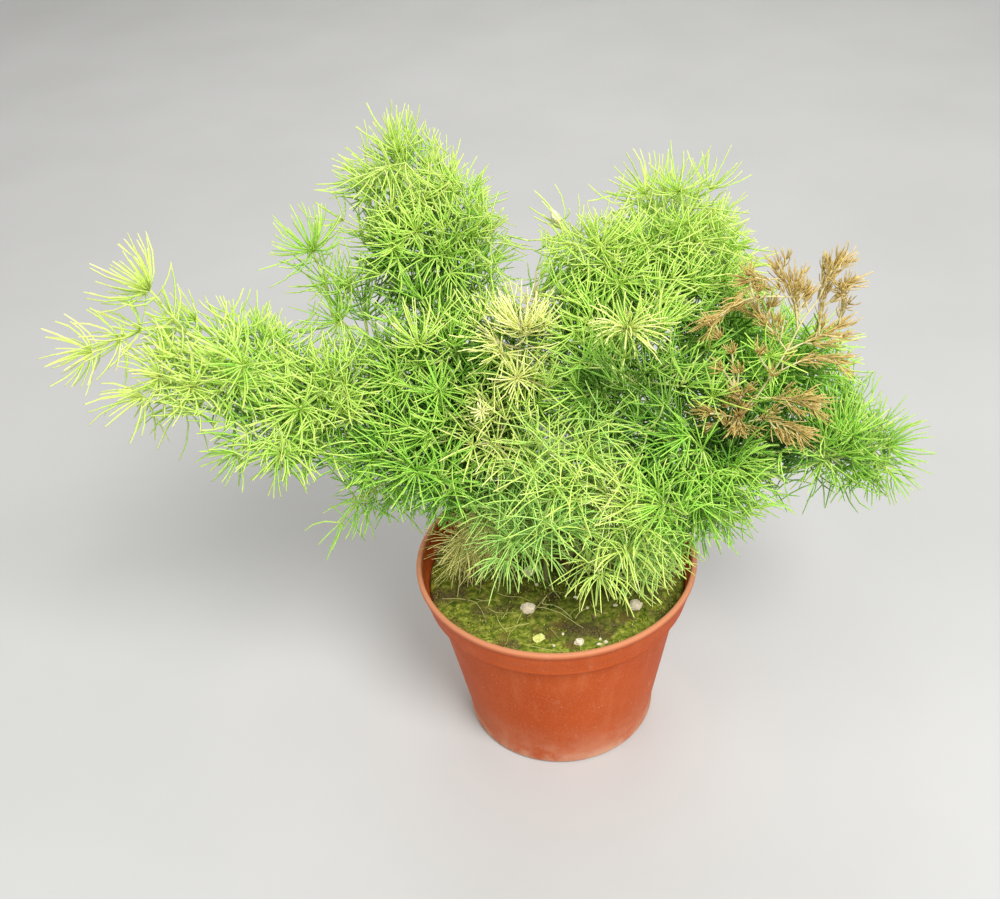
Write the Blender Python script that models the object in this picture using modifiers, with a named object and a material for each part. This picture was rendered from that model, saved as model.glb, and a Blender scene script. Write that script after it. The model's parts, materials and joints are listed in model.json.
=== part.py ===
# Potted ming fern: needle-leaved stems in a round plastic nursery pot. Metres, +Z up, base at the origin.
import math
import random

import bmesh
import bpy
import numpy as np
from mathutils import Matrix, Vector, noise

MM = 0.001

# Pot (millimetres)
POT_HEIGHT = 75.0
RIM_RADIUS = 52.5
BAND_FOOT_RADIUS = 49.6
BAND_HEIGHT = 12.6
BODY_TOP_RADIUS = 46.4
BASE_RADIUS = 36.4
WALL = 1.3
LIP = 2.0
FLOOR = 1.6
POT_STEPS = 48
DRAIN_HOLES = 6
DRAIN_RADIUS = 3.2
DRAIN_CIRCLE = 26.0

# Soil (millimetres)
SOIL_TOP = 66.0
SOIL_DOME = 1.8
SOIL_BUMP = 0.9
GAP = 0.3
HOLE_DEPTH = 11.0

# Stems, twigs and needles (millimetres)
STEM_RADIUS = (1.45, 0.65)
TWIG_RADIUS = (0.75, 0.55)
NEEDLE_LENGTH = (12.5, 15.5)
NEEDLE_RADIUS = 0.5
BAND = 0.45
DRY_NEEDLE_LENGTH = (6.0, 8.5)
CLEARANCE = 0.35
SEED = 11

GREEN = (0.20, 0.42, 0.05)
DEEP_GREEN = (0.13, 0.33, 0.06)
LIME = (0.36, 0.55, 0.07)
PALE = (0.55, 0.55, 0.17)
BROWN = (0.36, 0.24, 0.11)
OLIVE = (0.26, 0.30, 0.10)

# Each stem: where it stands in the soil, its route, and the tips of its twigs (millimetres)
STEMS = {
    "far_left_stem": {
        "foot": (-13, 8), "colour": LIME,
        "route": [(-30, 2, 107), (-43, 0, 121), (-57, -4, 139), (-70, -8, 154), (-82, -8, 163),
                  (-95, -8, 172), (-108, -6, 179), (-120, -6, 187), (-130, -8, 187), (-145, -12, 184)],
        "tips": [(-123, -6, 201), (-121, -24, 178), (-118, 2, 173), (-106, -22, 174), (-102, -2, 178),
                 (-97, -26, 178), (-95, 9, 170), (-81, -30, 167), (-98, -34, 162), (-87, -38, 156),
                 (-93, 8, 154), (-79, 10, 145), (-70, -16, 171), (-80, -22, 150)],
    },
    "low_left_stem": {
        "foot": (-19, 3), "colour": GREEN,
        "route": [(-27, -8, 108), (-34, -14, 121), (-44, -17, 131), (-53, -19, 138), (-60, -21, 140)],
        "tips": [(-63, -14, 122), (-76, -12, 107), (-47, -30, 142), (-73, -20, 140), (-38, -34, 140),
                 (-50, -3, 134)],
    },
    "mid_left_stem": {
        "foot": (-12, 17), "colour": GREEN,
        "route": [(-27, 16, 104), (-39, 16, 121), (-52, 16, 141), (-58, 16, 158), (-62, 16, 168),
                  (-70, 14, 173), (-72, 14, 190), (-74, 14, 200)],
        "tips": [(-61, 22, 176), (-66, 20, 182), (-65, 6, 168), (-62, 27, 146), (-52, 4, 160),
                 (-56, 32, 125), (-42, 6, 148)],
    },
    "upper_left_stem": {
        "foot": (-4, 18), "colour": GREEN,
        "route": [(-17, 20, 100), (-20, 24, 132), (-21, 28, 158), (-27, 34, 177), (-33, 36, 193),
                  (-40, 38, 206), (-46, 40, 216), (-46, 40, 225)],
        "tips": [(-58, 38, 213), (-47, 26, 222), (-37, 46, 213), (-31, 54, 208), (-25, 41, 206),
                 (-19, 48, 196), (-17, 33, 194), (-18, 38, 180), (-52, 28, 197), (-44, 16, 201),
                 (-48, 30, 186), (-42, 54, 188), (-27, 20, 199)],
    },
    "left_stem": {
        "foot": (-6, 10), "colour": GREEN,
        "route": [(-21, 6, 102), (-25, 5, 127), (-30, 4, 147), (-36, 4, 161), (-43, 2, 169)],
        "tips": [(-38, 10, 179), (-50, -8, 165), (-32, 15, 167), (-29, -5, 170), (-29, 20, 142),
                 (-36, -17, 156), (-40, -25, 149), (-27, -15, 146), (-28, 24, 171), (-30, 36, 118)],
    },
    "centre_stem": {
        "foot": (-1, 4), "colour": PALE,
        "route": [(-9, 1, 111), (-10, 0, 133), (-10, 0, 152), (-9, -2, 167), (-9, -2, 177)],
        "tips": [(-17, -8, 174), (1, 6, 168), (-10, -16, 165), (-20, -17, 155), (-18, -26, 143),
                 (-22, 8, 155), (-2, 9, 180)],
    },
    "top_right_stem": {
        "foot": (13, 14), "colour": LIME,
        "route": [(15, 18, 92), (23, 21, 121), (33, 26, 148), (40, 30, 172), (46, 32, 189), (52, 32, 201)],
        "tips": [(36, 34, 204), (45, 44, 197), (57, 22, 201), (51, 17, 192), (63, 36, 187),
                 (62, 19, 186), (44, 54, 186), (70, 32, 173), (34, 13, 194), (59, 52, 182),
                 (67, 48, 158)],
    },
    "back_stem": {
        "foot": (5, 17), "colour": GREEN,
        "route": [(7, 21, 95), (12, 26, 118), (16, 27, 148), (19, 22, 174), (20, 16, 193)],
        "tips": [(8, 21, 199), (10, 6, 200), (11, 18, 188), (28, 14, 191), (25, 3, 186),
                 (34, 35, 177), (27, 50, 145), (7, 48, 137), (43, 60, 146), (12, 45, 171),
                 (-4, 44, 110), (26, 48, 114)],
    },
    "inner_right_stem": {
        "foot": (8, 8), "colour": LIME,
        "route": [(11, 0, 104), (17, -6, 131), (23, -8, 154), (26, -10, 176)],
        "tips": [(14, -5, 178), (5, -6, 170), (37, 2, 181), (49, 10, 175), (36, -8, 172),
                 (42, -27, 164), (27, -27, 165), (10, -25, 162), (61, 20, 169), (17, -31, 177)],
    },
    "right_mid_stem": {
        "foot": (19, 8), "colour": GREEN,
        "route": [(23, 9, 92), (36, 10, 112), (54, 11, 129), (69, 10, 145), (82, 8, 155), (91, 6, 155)],
        "tips": [(58, 0, 164), (72, 26, 147), (83, 22, 149), (75, -5, 154), (97, 9, 137),
                 (80, 26, 122), (67, 28, 129), (62, -12, 144), (100, 11, 151), (91, 10, 121)],
    },
    "low_right_stem": {
        "foot": (14, 1), "colour": GREEN,
        "route": [(19, -10, 101), (32, -18, 121), (48, -24, 132), (60, -28, 137)],
        "tips": [(45, -40, 149), (54, -38, 131), (62, -26, 116), (69, -19, 127), (45, -41, 123),
                 (34, -38, 146), (27, -33, 154), (54, -33, 115), (31, -50, 136)],
    },
    "right_stem": {
        "foot": (21, 0), "colour": GREEN,
        "route": [(29, 0, 94), (46, -4, 105), (66, -8, 111), (76, -10, 113), (88, -10, 116),
                  (100, -10, 119), (110, -10, 122), (117, -10, 122)],
        "tips": [(116, 1, 123), (107, 3, 133), (102, 10, 129), (96, -19, 136), (88, -26, 130),
                 (101, -20, 118), (114, -18, 118), (114, 7, 110), (108, 15, 101)],
    },
    "dried_stem": {
        "foot": (9, -5), "colour": BROWN,
        "route": [(18, -13, 112), (35, -20, 128), (51, -21, 136), (62, -20, 147), (68, -19, 156),
                  (75, -18, 169), (80, -16, 179), (86, -14, 187), (90, -12, 196)],
        "tips": [(71, -14, 196), (77, -8, 188), (94, -14, 189), (93, -12, 173), (93, -17, 164),
                 (62, -14, 193), (67, -12, 180), (49, -20, 183), (48, -31, 157), (57, -27, 160),
                 (83, -25, 154), (79, -30, 146), (57, -35, 157)],
    },
    "front_right_stem": {
        "foot": (4, -3), "colour": LIME,
        "route": [(11, -13, 102), (15, -22, 113), (18, -32, 125)],
        "tips": [(21, -37, 106), (34, -30, 104), (23, -34, 91), (34, -20, 87), (9, -39, 105),
                 (13, -41, 117), (26, -43, 124), (10, -30, 136), (36, -25, 113), (10, -28, 88)],
    },
    "front_left_stem": {
        "foot": (-4, -6), "colour": DEEP_GREEN,
        "route": [(-4, -13, 98), (-6, -19, 106), (-10, -26, 110), (-14, -32, 112)],
        "tips": [(-20, -30, 105), (-5, -37, 108), (-2, -37, 135), (10, -35, 153), (-9, -31, 142),
                 (5, -40, 129), (-3, -44, 125), (-21, -28, 123), (-12, -20, 124)],
    },
    "old_stem": {
        "foot": (-21, 11), "colour": OLIVE,
        "route": [(-22, 12, 84), (-25, 14, 92), (-29, 15, 95)],
        "tips": [(-34, 13, 85), (-39, 10, 77), (-36, 1, 75), (-28, 1, 76), (-28, -10, 91)],
    },
}

# Grains of perlite on the soil: centre across and along, and half sizes (millimetres)
PERLITE = {
    "perlite_front": ((-12.0, -20.8), (2.7, 2.3, 2.0)),
    "perlite_right": ((27.3, -22.8), (2.4, 2.2, 1.9)),
    "perlite_back": ((-10.4, -1.3), (2.2, 2.0, 1.8)),
    "perlite_rim": ((5.0, -38.6), (1.7, 1.5, 1.3)),
}
LEAF_SCRAP = (-9.0, -35.5)
LEAF_SCRAP_SIZE = (4.6, 3.2, 0.7)


# Layout of the stems and twigs

def spline(points, spacing):
    """A smooth curve through the points, as short straight lengths."""
    ends = [points[0] - Vector((0, 0, 20))] + points + [2 * points[-1] - points[-2]]
    line = [points[0]]
    for a, b, c, d in zip(ends, ends[1:], ends[2:], ends[3:]):
        count = max(1, round((c - b).length / spacing))
        for i in range(1, count + 1):
            t = i / count
            line.append(0.5 * (2 * b + (c - a) * t + (2 * a - 5 * b + 4 * c - d) * t * t
                               + (3 * b - a - 3 * c + d) * t ** 3))
    return line


def distance(p, q, starts, stops):
    """Shortest distances from the length p-q to each of the lengths starts-stops."""
    p, q = np.array(p), np.array(q)
    d1, d2, r = q - p, stops - starts, p - starts
    a, e = max(d1 @ d1, 1e-9), np.maximum((d2 * d2).sum(1), 1e-9)
    b, c, f = d2 @ d1, r @ d1, (d2 * r).sum(1)
    denominator = np.maximum(a * e - b * b, 1e-9)
    s = np.clip((b * f - c * e) / denominator, 0, 1)
    t = np.clip((b * s + f) / e, 0, 1)
    s = np.clip((b * t - c) / a, 0, 1)
    return np.linalg.norm((p + s[:, None] * d1) - (starts + t[:, None] * d2), axis=1)


class Lengths:
    """Straight lengths already placed: the stem and the line that own each, its ends and its radius."""

    def __init__(self):
        self.rows = []
        self.table = None

    def add(self, stem, line, p, q, radius):
        self.rows.append((stem, line, *p, *q, radius))
        self.table = None

    def clear_of(self, column, owner, p, q, radius):
        """Whether p-q is clear of all lengths that another stem (column 0) or line (column 1) owns."""
        if self.table is None:
            self.table = np.array(self.rows, float).reshape(-1, 9)
        others = self.table[self.table[:, column] != owner]
        if not len(others):
            return True
        apart = distance(p, q, others[:, 2:5], others[:, 5:8])
        return bool((apart > others[:, 8] + radius + CLEARANCE).all())


def add_line(lengths, owner, index, line, radii):
    for i in range(len(line) - 1):
        lengths.add(owner, owner * 100 + index, line[i], line[i + 1], max(radii[i], radii[i + 1]))


def line_clear(lengths, owner, line, radii):
    return all(lengths.clear_of(0, owner, line[i], line[i + 1], max(radii[i], radii[i + 1]))
               for i in range(len(line) - 1))


def taper(count, pair):
    return [pair[0] + (pair[1] - pair[0]) * i / (count - 1) for i in range(count)]


def jitter(rng, size):
    return Vector((rng.uniform(-size, size), rng.uniform(-size, size), rng.uniform(-size, size)))


def lay_stems(lengths):
    """The main line of every stem, bent clear of the others."""
    lines = {}
    for owner, (name, stem) in enumerate(STEMS.items()):
        rng = random.Random(SEED + owner)
        x, y = stem["foot"]
        for attempt in range(80):
            shift = attempt * 0.12
            points = [Vector((x, y, 71))] + [Vector(p) + jitter(rng, shift) for p in stem["route"]]
            line = [Vector((x, y, SOIL_TOP - HOLE_DEPTH + 2 + GAP))] + spline(points, 17)
            radii = taper(len(line), STEM_RADIUS)
            if line_clear(lengths, owner, line, radii):
                break
        lines[name] = [(line, radii)]
        add_line(lengths, owner, 0, line, radii)
    return lines


def best_start(paths, tip):
    """The place on the stem or its twigs where a twig to this tip would best leave."""
    best, choice = 1e9, None
    for line, _ in paths:
        for i in range(1, len(line) - 1):
            way = (line[i + 1] - line[i]).normalized()
            for k in range(3):
                start = line[i].lerp(line[i + 1], k / 3)
                reach = tip - start
                if start.z < 74 or reach.length < 5:
                    continue
                cost = reach.length * (1.7 - reach.normalized().dot(way))
                if cost < best:
                    best, choice = cost, (start, way)
    return choice


def lay_twigs(lengths, lines):
    """Twigs from each stem to the tips that it lists, bent clear of the other stems."""
    for owner, (name, stem) in enumerate(STEMS.items()):
        rng = random.Random(SEED + 100 + owner)
        main = np.array(lines[name][0][0])
        tips = sorted((Vector(t) for t in stem["tips"]),
                      key=lambda t: float(distance(t, t, main[:-1], main[1:]).min()))
        for tip in tips:
            start, way = best_start(lines[name], tip)
            for attempt in range(120):
                end = tip + jitter(rng, attempt * 0.05)
                reach = end - start
                side = way - reach.normalized() * way.dot(reach.normalized())
                if reach.length > 20:
                    middle = start + reach * 0.5 + side * reach.length * 0.14
                    line = [start, middle + jitter(rng, 0.4 + attempt * 0.05), end]
                else:
                    line = [start, end]
                radii = taper(len(line), TWIG_RADIUS)
                if line_clear(lengths, owner, line, radii):
                    add_line(lengths, owner, len(lines[name]), line, radii)
                    lines[name].append((line, radii))
                    break


# Needles

def pot_clear(point):
    """Whether a point keeps clear of the pot's wall and of the soil."""
    radius = math.hypot(point.x, point.y)
    if point.z > POT_HEIGHT + 1:
        return True
    if radius > RIM_RADIUS + 1:
        return point.z > 4
    return radius < 47 and point.z > SOIL_TOP + SOIL_DOME + 2


def walk_back(line, back):
    """The place that lies this far back from the end of a line, and the line's direction there."""
    for i in range(len(line) - 1, 0, -1):
        step = line[i] - line[i - 1]
        if back <= step.length or i == 1:
            return line[i] - step * min(back / step.length, 1.0), step.normalized()
        back -= step.length


def line_length(line):
    return sum((b - a).length for a, b in zip(line, line[1:]))


def whorls(name, line, main):
    """Distance back from the tip and lean of each whorl of needles on a line."""
    total = line_length(line)
    if name == "dried_stem":
        count = 3 if main else max(2, min(3, int(total / 4.5)))
        return [(BAND + 3.0 * i, 14 + 3 * i) for i in range(count)]
    first = [(BAND, 30), (3.8, 60)]
    rest = [(12.5 + (16.0 if main else 11.5) * i, 66) for i in range(40)]
    return [(back, lean) for back, lean in first + rest if back < 4 or back < total - (50 if main else 7)]


# Blender objects

def link(obj, collection):
    collection.objects.link(obj)
    return obj


def material(name, colour, roughness, metallic=0.0):
    made = bpy.data.materials.new(name)
    made.use_nodes = True
    shader = made.node_tree.nodes["Principled BSDF"]
    shader.inputs["Base Color"].default_value = (*colour, 1.0)
    shader.inputs["Roughness"].default_value = roughness
    shader.inputs["Metallic"].default_value = metallic
    made.diffuse_color = (*colour, 1.0)
    return made


def mesh_object(name, bm, collection):
    mesh = bpy.data.meshes.new(name)
    bm.to_mesh(mesh)
    bm.free()
    return link(bpy.data.objects.new(name, mesh), collection)


def stations(line, places):
    """Distances back from the tip at which a tube has a ring: its ends, its bends and each whorl's band."""
    rings = {0.0, line_length(line)}
    for back, _ in places:
        rings |= {max(0.0, back - BAND), back + BAND}
    bend = 0.0
    for a, b in zip(line[:0:-1], line[-2:0:-1]):
        bend += (b - a).length
        if all(abs(bend - ring) > 1.2 for ring in rings):
            rings.add(bend)
    return sorted(rings, reverse=True)


def tube(name, line, radii, sides, places, collection):
    """A tapered tube along a line, from a curve with a bevel and filled caps."""
    profile = bpy.data.curves.new(name + "_section", "CURVE")
    ring = profile.splines.new("POLY")
    ring.points.add(sides - 1)
    for i in range(sides):
        turn = 2 * math.pi * i / sides
        ring.points[i].co = (math.cos(turn) * MM, math.sin(turn) * MM, 0, 1)
    ring.use_cyclic_u = True
    section = link(bpy.data.objects.new(name + "_section", profile), collection)
    curve = bpy.data.curves.new(name, "CURVE")
    curve.dimensions = "3D"
    curve.bevel_mode = "OBJECT"
    curve.bevel_object = section
    curve.use_fill_caps = True
    backs = stations(line, places)
    path = curve.splines.new("POLY")
    path.points.add(len(backs) - 1)
    for point, back in zip(path.points, backs):
        point.co = (*(walk_back(line, back)[0] * MM), 1)
        point.radius = radii[-1] + (radii[0] - radii[-1]) * back / backs[0]
    source = link(bpy.data.objects.new(name + "_curve", curve), collection)
    bpy.context.view_layer.update()
    mesh = bpy.data.meshes.new_from_object(source.evaluated_get(bpy.context.evaluated_depsgraph_get()))
    bm = bmesh.new()
    bm.from_mesh(mesh)
    bmesh.ops.remove_doubles(bm, verts=bm.verts, dist=1e-6)
    bmesh.ops.recalc_face_normals(bm, faces=bm.faces)
    bpy.data.objects.remove(source)
    bpy.data.objects.remove(section)
    return mesh_object(name, bm, collection)


def raise_needles(obj, name, owner, index, line, places, lengths, rng):
    """Raises a needle from every face of each whorl's band and from the tip, clear of all else."""
    bm = bmesh.new()
    bm.from_mesh(obj.data)
    reach = DRY_NEEDLE_LENGTH if name == "dried_stem" else NEEDLE_LENGTH
    own = []
    faces = []
    tip, way = walk_back(line, 0.0)
    for back, lean in places:
        centre, along = walk_back(line, back)
        band = [face for face in bm.faces
                if abs((face.calc_center_median() / MM - centre).dot(along)) < 0.25
                and (face.calc_center_median() / MM - centre).length < 1.6]
        faces += [(face, centre, along, lean) for face in band]
    end = min(bm.faces, key=lambda face: (face.calc_center_median() / MM - tip).length)
    faces.insert(0, (end, tip, way, 6))
    for face, centre, along, lean in faces:
        middle = face.calc_center_median() / MM
        outward = face.normal - along * face.normal.dot(along)
        outward = outward.normalized() if outward.length > 0.3 else along.orthogonal().normalized()
        for attempt in range(30):
            spread = 1 + (attempt % 15) * 0.15
            tilt = math.radians(lean + rng.uniform(-8, 8) * spread)
            side = Matrix.Rotation(math.radians(rng.uniform(-34, 34) * spread), 3, along) @ outward
            aim = along * math.cos(tilt) + side * math.sin(tilt)
            point = middle + aim * rng.uniform(*reach)
            start = middle + aim * 1.2
            clear = all(pot_clear(middle.lerp(point, share)) for share in (0.3, 0.6, 1.0))
            if clear and own:
                table = np.array(own)
                clear = distance(start, point, table[:, :3], table[:, 3:]).min() > 0.5
            if attempt < 15:
                clear = clear and lengths.clear_of(1, owner * 100 + index, start, point, NEEDLE_RADIUS)
            if clear and lengths.clear_of(0, owner, middle, point, NEEDLE_RADIUS):
                own.append((*start, *point))
                lengths.add(owner, owner * 100 + index, middle, point, NEEDLE_RADIUS)
                raised = bmesh.ops.poke(bm, faces=[face])["verts"][0]
                raised.co = point * MM
                break
    bmesh.ops.connect_verts_nonplanar(bm, angle_limit=0.01, faces=bm.faces)
    bm.to_mesh(obj.data)
    bm.free()


def modified_mesh(obj):
    bpy.context.view_layer.update()
    return bpy.data.meshes.new_from_object(obj.evaluated_get(bpy.context.evaluated_depsgraph_get()))


def apply_modifiers(obj):
    """Replaces an object's mesh with the result of its modifiers."""
    result = modified_mesh(obj)
    obj.modifiers.clear()
    obj.data = result


def closed(mesh):
    """Whether every edge joins exactly two faces once points that coincide are merged."""
    bm = bmesh.new()
    bm.from_mesh(mesh)
    bmesh.ops.remove_doubles(bm, verts=bm.verts, dist=3e-7)
    result = all(len(edge.link_faces) == 2 for edge in bm.edges)
    bm.free()
    return result


def fuse(obj, repeats):
    """Joins a collection of closed pieces to an object, then removes the pieces."""
    union = obj.modifiers.new("fuse", "BOOLEAN")
    union.operation = "UNION"
    union.operand_type = "COLLECTION"
    union.collection = repeats
    union.solver = "EXACT"
    if not closed(modified_mesh(obj)):
        union.solver = "MANIFOLD"
    apply_modifiers(obj)
    for piece in list(repeats.objects):
        bpy.data.objects.remove(piece)
    bpy.data.collections.remove(repeats)


def finish(obj, colour, roughness, smooth):
    obj.data.materials.clear()
    obj.data.materials.append(material(obj.name + "_material", colour, roughness))
    for face in obj.data.polygons:
        face.use_smooth = smooth
        face.material_index = 0


def build_foliage(parts):
    lengths = Lengths()
    lines = lay_stems(lengths)
    lay_twigs(lengths, lines)
    for owner, (name, stem) in enumerate(STEMS.items()):
        rng = random.Random(SEED + 200 + owner)
        repeats = bpy.data.collections.new(name + "_repeats")
        bpy.context.scene.collection.children.link(repeats)
        for i, (line, radii) in enumerate(lines[name]):
            places = whorls(name, line, i == 0)
            if i:
                obj = tube(f"{name}_twig_{i}", line, radii, 3, places, repeats)
            else:
                obj = main = tube(name, line, radii, 4, places, parts)
            raise_needles(obj, name, owner, i, line, places, lengths, rng)
        if name == "back_stem":
            add_bud(lines[name], repeats)
        fuse(main, repeats)
        finish(main, stem["colour"], 0.55, False)


def add_bud(lines, collection):
    """A pale bud that closes the tip of one twig."""
    tip = min((line[-1] for line, _ in lines[1:]), key=lambda p: (p - Vector((8, 21, 199))).length)
    bm = bmesh.new()
    bmesh.ops.create_uvsphere(bm, u_segments=6, v_segments=5, radius=1)
    place = Matrix.Translation((tip + Vector((-2.2, 0.6, 2.6))) * MM)
    lean = Matrix.Rotation(math.radians(-25), 4, "Y")
    bmesh.ops.transform(bm, matrix=place @ lean @ Matrix.Diagonal((1.5 * MM, 1.5 * MM, 4.4 * MM, 1)),
                        verts=bm.verts)
    mesh_object("bud", bm, collection)


def turned(name, profile, steps, collection):
    """A solid turned about the upright axis from a closed profile."""
    bm = bmesh.new()
    corners = [bm.verts.new((r * MM, 0, z * MM)) for r, z in profile]
    for a, b in zip(corners, corners[1:]):
        bm.edges.new((a, b))
    if profile[0][0] > 0.01:
        bm.edges.new((corners[-1], corners[0]))
    obj = mesh_object(name, bm, collection)
    screw = obj.modifiers.new("turn", "SCREW")
    screw.axis = "Z"
    screw.steps = steps
    screw.render_steps = steps
    screw.use_merge_vertices = True
    screw.merge_threshold = 0.00001
    screw.use_normal_calculate = True
    apply_modifiers(obj)
    bm = bmesh.new()
    bm.from_mesh(obj.data)
    bmesh.ops.remove_doubles(bm, verts=bm.verts, dist=1e-6)
    bmesh.ops.recalc_face_normals(bm, faces=bm.faces)
    bm.to_mesh(obj.data)
    bm.free()
    return obj


def cut(obj, cutters):
    """Subtracts a collection of cutters from an object, then removes the cutters."""
    trim = obj.modifiers.new("cut", "BOOLEAN")
    trim.operation = "DIFFERENCE"
    trim.operand_type = "COLLECTION"
    trim.collection = cutters
    trim.solver = "EXACT"
    apply_modifiers(obj)
    for piece in list(cutters.objects):
        bpy.data.objects.remove(piece)


def upright_cylinder(name, x, y, bottom, top, radius, sides, collection):
    bm = bmesh.new()
    bmesh.ops.create_cone(bm, cap_ends=True, segments=sides, radius1=radius * MM, radius2=radius * MM,
                          depth=(top - bottom) * MM)
    bmesh.ops.translate(bm, vec=Vector((x, y, (top + bottom) / 2)) * MM, verts=bm.verts)
    return as_cutter(mesh_object(name, bm, collection))


def as_cutter(obj):
    obj.hide_render = True
    obj.display_type = "WIRE"
    return obj


def wall_inside(z):
    """Inner radius of the pot's plain wall at a height."""
    step = POT_HEIGHT - BAND_HEIGHT - 1.5
    return BASE_RADIUS + (BODY_TOP_RADIUS - BASE_RADIUS) * z / step - WALL


def build_pot(parts, cutters):
    band = POT_HEIGHT - BAND_HEIGHT
    profile = [
        (RIM_RADIUS - 0.5, POT_HEIGHT), (RIM_RADIUS, POT_HEIGHT - 0.6),
        (BAND_FOOT_RADIUS, band), (BODY_TOP_RADIUS, band - 0.8), (BASE_RADIUS + 0.4, 2.2),
        (BASE_RADIUS - 1.0, 0.0), (0.0, 0.0), (0.0, FLOOR), (BASE_RADIUS - WALL - 0.9, FLOOR),
        (wall_inside(3.2), 3.2), (wall_inside(band + 0.5), band + 0.5),
        (BAND_FOOT_RADIUS - WALL, band + 1.3),
        (RIM_RADIUS - LIP, POT_HEIGHT - 0.5),
        (RIM_RADIUS - LIP + 0.5, POT_HEIGHT),
    ]
    pot = turned("pot", close_axis(profile), POT_STEPS, parts)
    for i in range(DRAIN_HOLES):
        turn = 2 * math.pi * (i + 0.5) / DRAIN_HOLES
        upright_cylinder(f"drain_{i}", DRAIN_CIRCLE * math.cos(turn), DRAIN_CIRCLE * math.sin(turn),
                         -1, FLOOR + 1, DRAIN_RADIUS, 8, cutters)
    cut(pot, cutters)
    finish(pot, (0.58, 0.12, 0.035), 0.45, True)


def close_axis(profile):
    """The same profile, started and ended on the axis so that it turns into a closed solid."""
    start = next(i for i, (r, _) in enumerate(profile) if r == 0.0) + 1
    return profile[start:] + profile[:start]


def soil_height(x, y):
    """Height of the soil's surface: a low dome with lumps that flatten towards the wall."""
    share = min(1.0, math.hypot(x, y) / 48.0)
    place = Vector((x * 0.11, y * 0.11, 3.7))
    lumps = SOIL_BUMP * (noise.noise(place) + 0.5 * noise.noise(place * 2.3))
    return SOIL_TOP + SOIL_DOME * (1 - share ** 2) + lumps * (1 - 0.7 * share ** 4)


def build_soil(parts, cutters):
    band = POT_HEIGHT - BAND_HEIGHT
    inner_foot = BAND_FOOT_RADIUS - WALL
    slope = (RIM_RADIUS - LIP - inner_foot) / (BAND_HEIGHT - 1.8)
    edge = inner_foot + slope * (SOIL_TOP - 0.6 - band - 1.3) - GAP
    profile = [(0.0, SOIL_TOP), (11.0, SOIL_TOP), (21.0, SOIL_TOP), (31.0, SOIL_TOP), (40.0, SOIL_TOP),
               (edge - 1.2, SOIL_TOP), (edge, SOIL_TOP - 0.6),
               (inner_foot - 0.35, band + 1.3 + GAP), (wall_inside(band + 0.5) - GAP, band + 0.6 + GAP),
               (wall_inside(FLOOR + 2) - GAP, FLOOR + 2), (BASE_RADIUS - WALL - 1.6, FLOOR + GAP),
               (0.0, FLOOR + GAP)]
    soil = turned("soil", profile, 24, parts)
    for vertex in soil.data.vertices:
        x, y = vertex.co.x / MM, vertex.co.y / MM
        if vertex.co.z > (SOIL_TOP - 0.1) * MM and math.hypot(x, y) < edge - 0.5:
            vertex.co.z = soil_height(x, y) * MM
    for name, stem in STEMS.items():
        x, y = stem["foot"]
        upright_cylinder(name + "_hole", x, y, SOIL_TOP - HOLE_DEPTH + 2, SOIL_TOP + 8,
                         STEM_RADIUS[0] + GAP + 0.25, 6, cutters)
    for name, ((x, y), size) in PERLITE.items():
        as_cutter(grain(name + "_pocket", x, y, size, GAP, cutters))
    x, y = LEAF_SCRAP
    as_cutter(scrap("leaf_scrap_pocket", x, y, GAP, cutters))
    cut(soil, cutters)
    finish(soil, (0.075, 0.085, 0.025), 0.95, False)


def grain(name, x, y, size, grow, collection):
    """A lumpy grain, half sunk in the soil."""
    bm = bmesh.new()
    bmesh.ops.create_icosphere(bm, subdivisions=1, radius=1)
    for vertex in bm.verts:
        lump = 1 + 0.16 * noise.noise(vertex.co * 1.3 + Vector((x, y, 0)))
        vertex.co = Vector((vertex.co.x * (size[0] + grow), vertex.co.y * (size[1] + grow),
                            vertex.co.z * (size[2] + grow))) * lump * MM
    height = soil_height(x, y) + size[2] * 0.45
    bmesh.ops.translate(bm, vec=Vector((x, y, height)) * MM, verts=bm.verts)
    return mesh_object(name, bm, collection)


def scrap(name, x, y, grow, collection):
    """A thin leaf scrap that lies in the soil's surface."""
    bm = bmesh.new()
    bmesh.ops.create_cone(bm, cap_ends=True, segments=7, radius1=0.5, radius2=0.5, depth=1)
    size = [side + 2 * grow for side in LEAF_SCRAP_SIZE]
    place = Matrix.Translation(Vector((x, y, soil_height(x, y) + 0.5)) * MM)
    lean = Matrix.Rotation(0.5, 4, "Z") @ Matrix.Rotation(0.14, 4, "X")
    shape = place @ lean @ Matrix.Diagonal((*(s * MM for s in size), 1))
    bmesh.ops.transform(bm, matrix=shape, verts=bm.verts)
    return mesh_object(name, bm, collection)


def main():
    for obj in list(bpy.data.objects):
        bpy.data.objects.remove(obj)
    parts = bpy.data.collections.new("potted_ming_fern")
    cutters = bpy.data.collections.new("cutters")
    for collection in (parts, cutters):
        bpy.context.scene.collection.children.link(collection)
    build_pot(parts, cutters)
    build_soil(parts, cutters)
    for name, ((x, y), size) in PERLITE.items():
        finish(grain(name, x, y, size, 0, parts), (0.62, 0.60, 0.52), 0.8, False)
    x, y = LEAF_SCRAP
    finish(scrap("leaf_scrap", x, y, 0, parts), (0.55, 0.60, 0.12), 0.6, False)
    build_foliage(parts)


main()
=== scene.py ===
# Potted ming fern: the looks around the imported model. The scene is in metres, but lengths here are in
# millimetres where no comment says otherwise.
import json
import math
import random

import bmesh
import bpy
import numpy as np
from mathutils import Matrix, Vector, kdtree, noise

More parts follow.
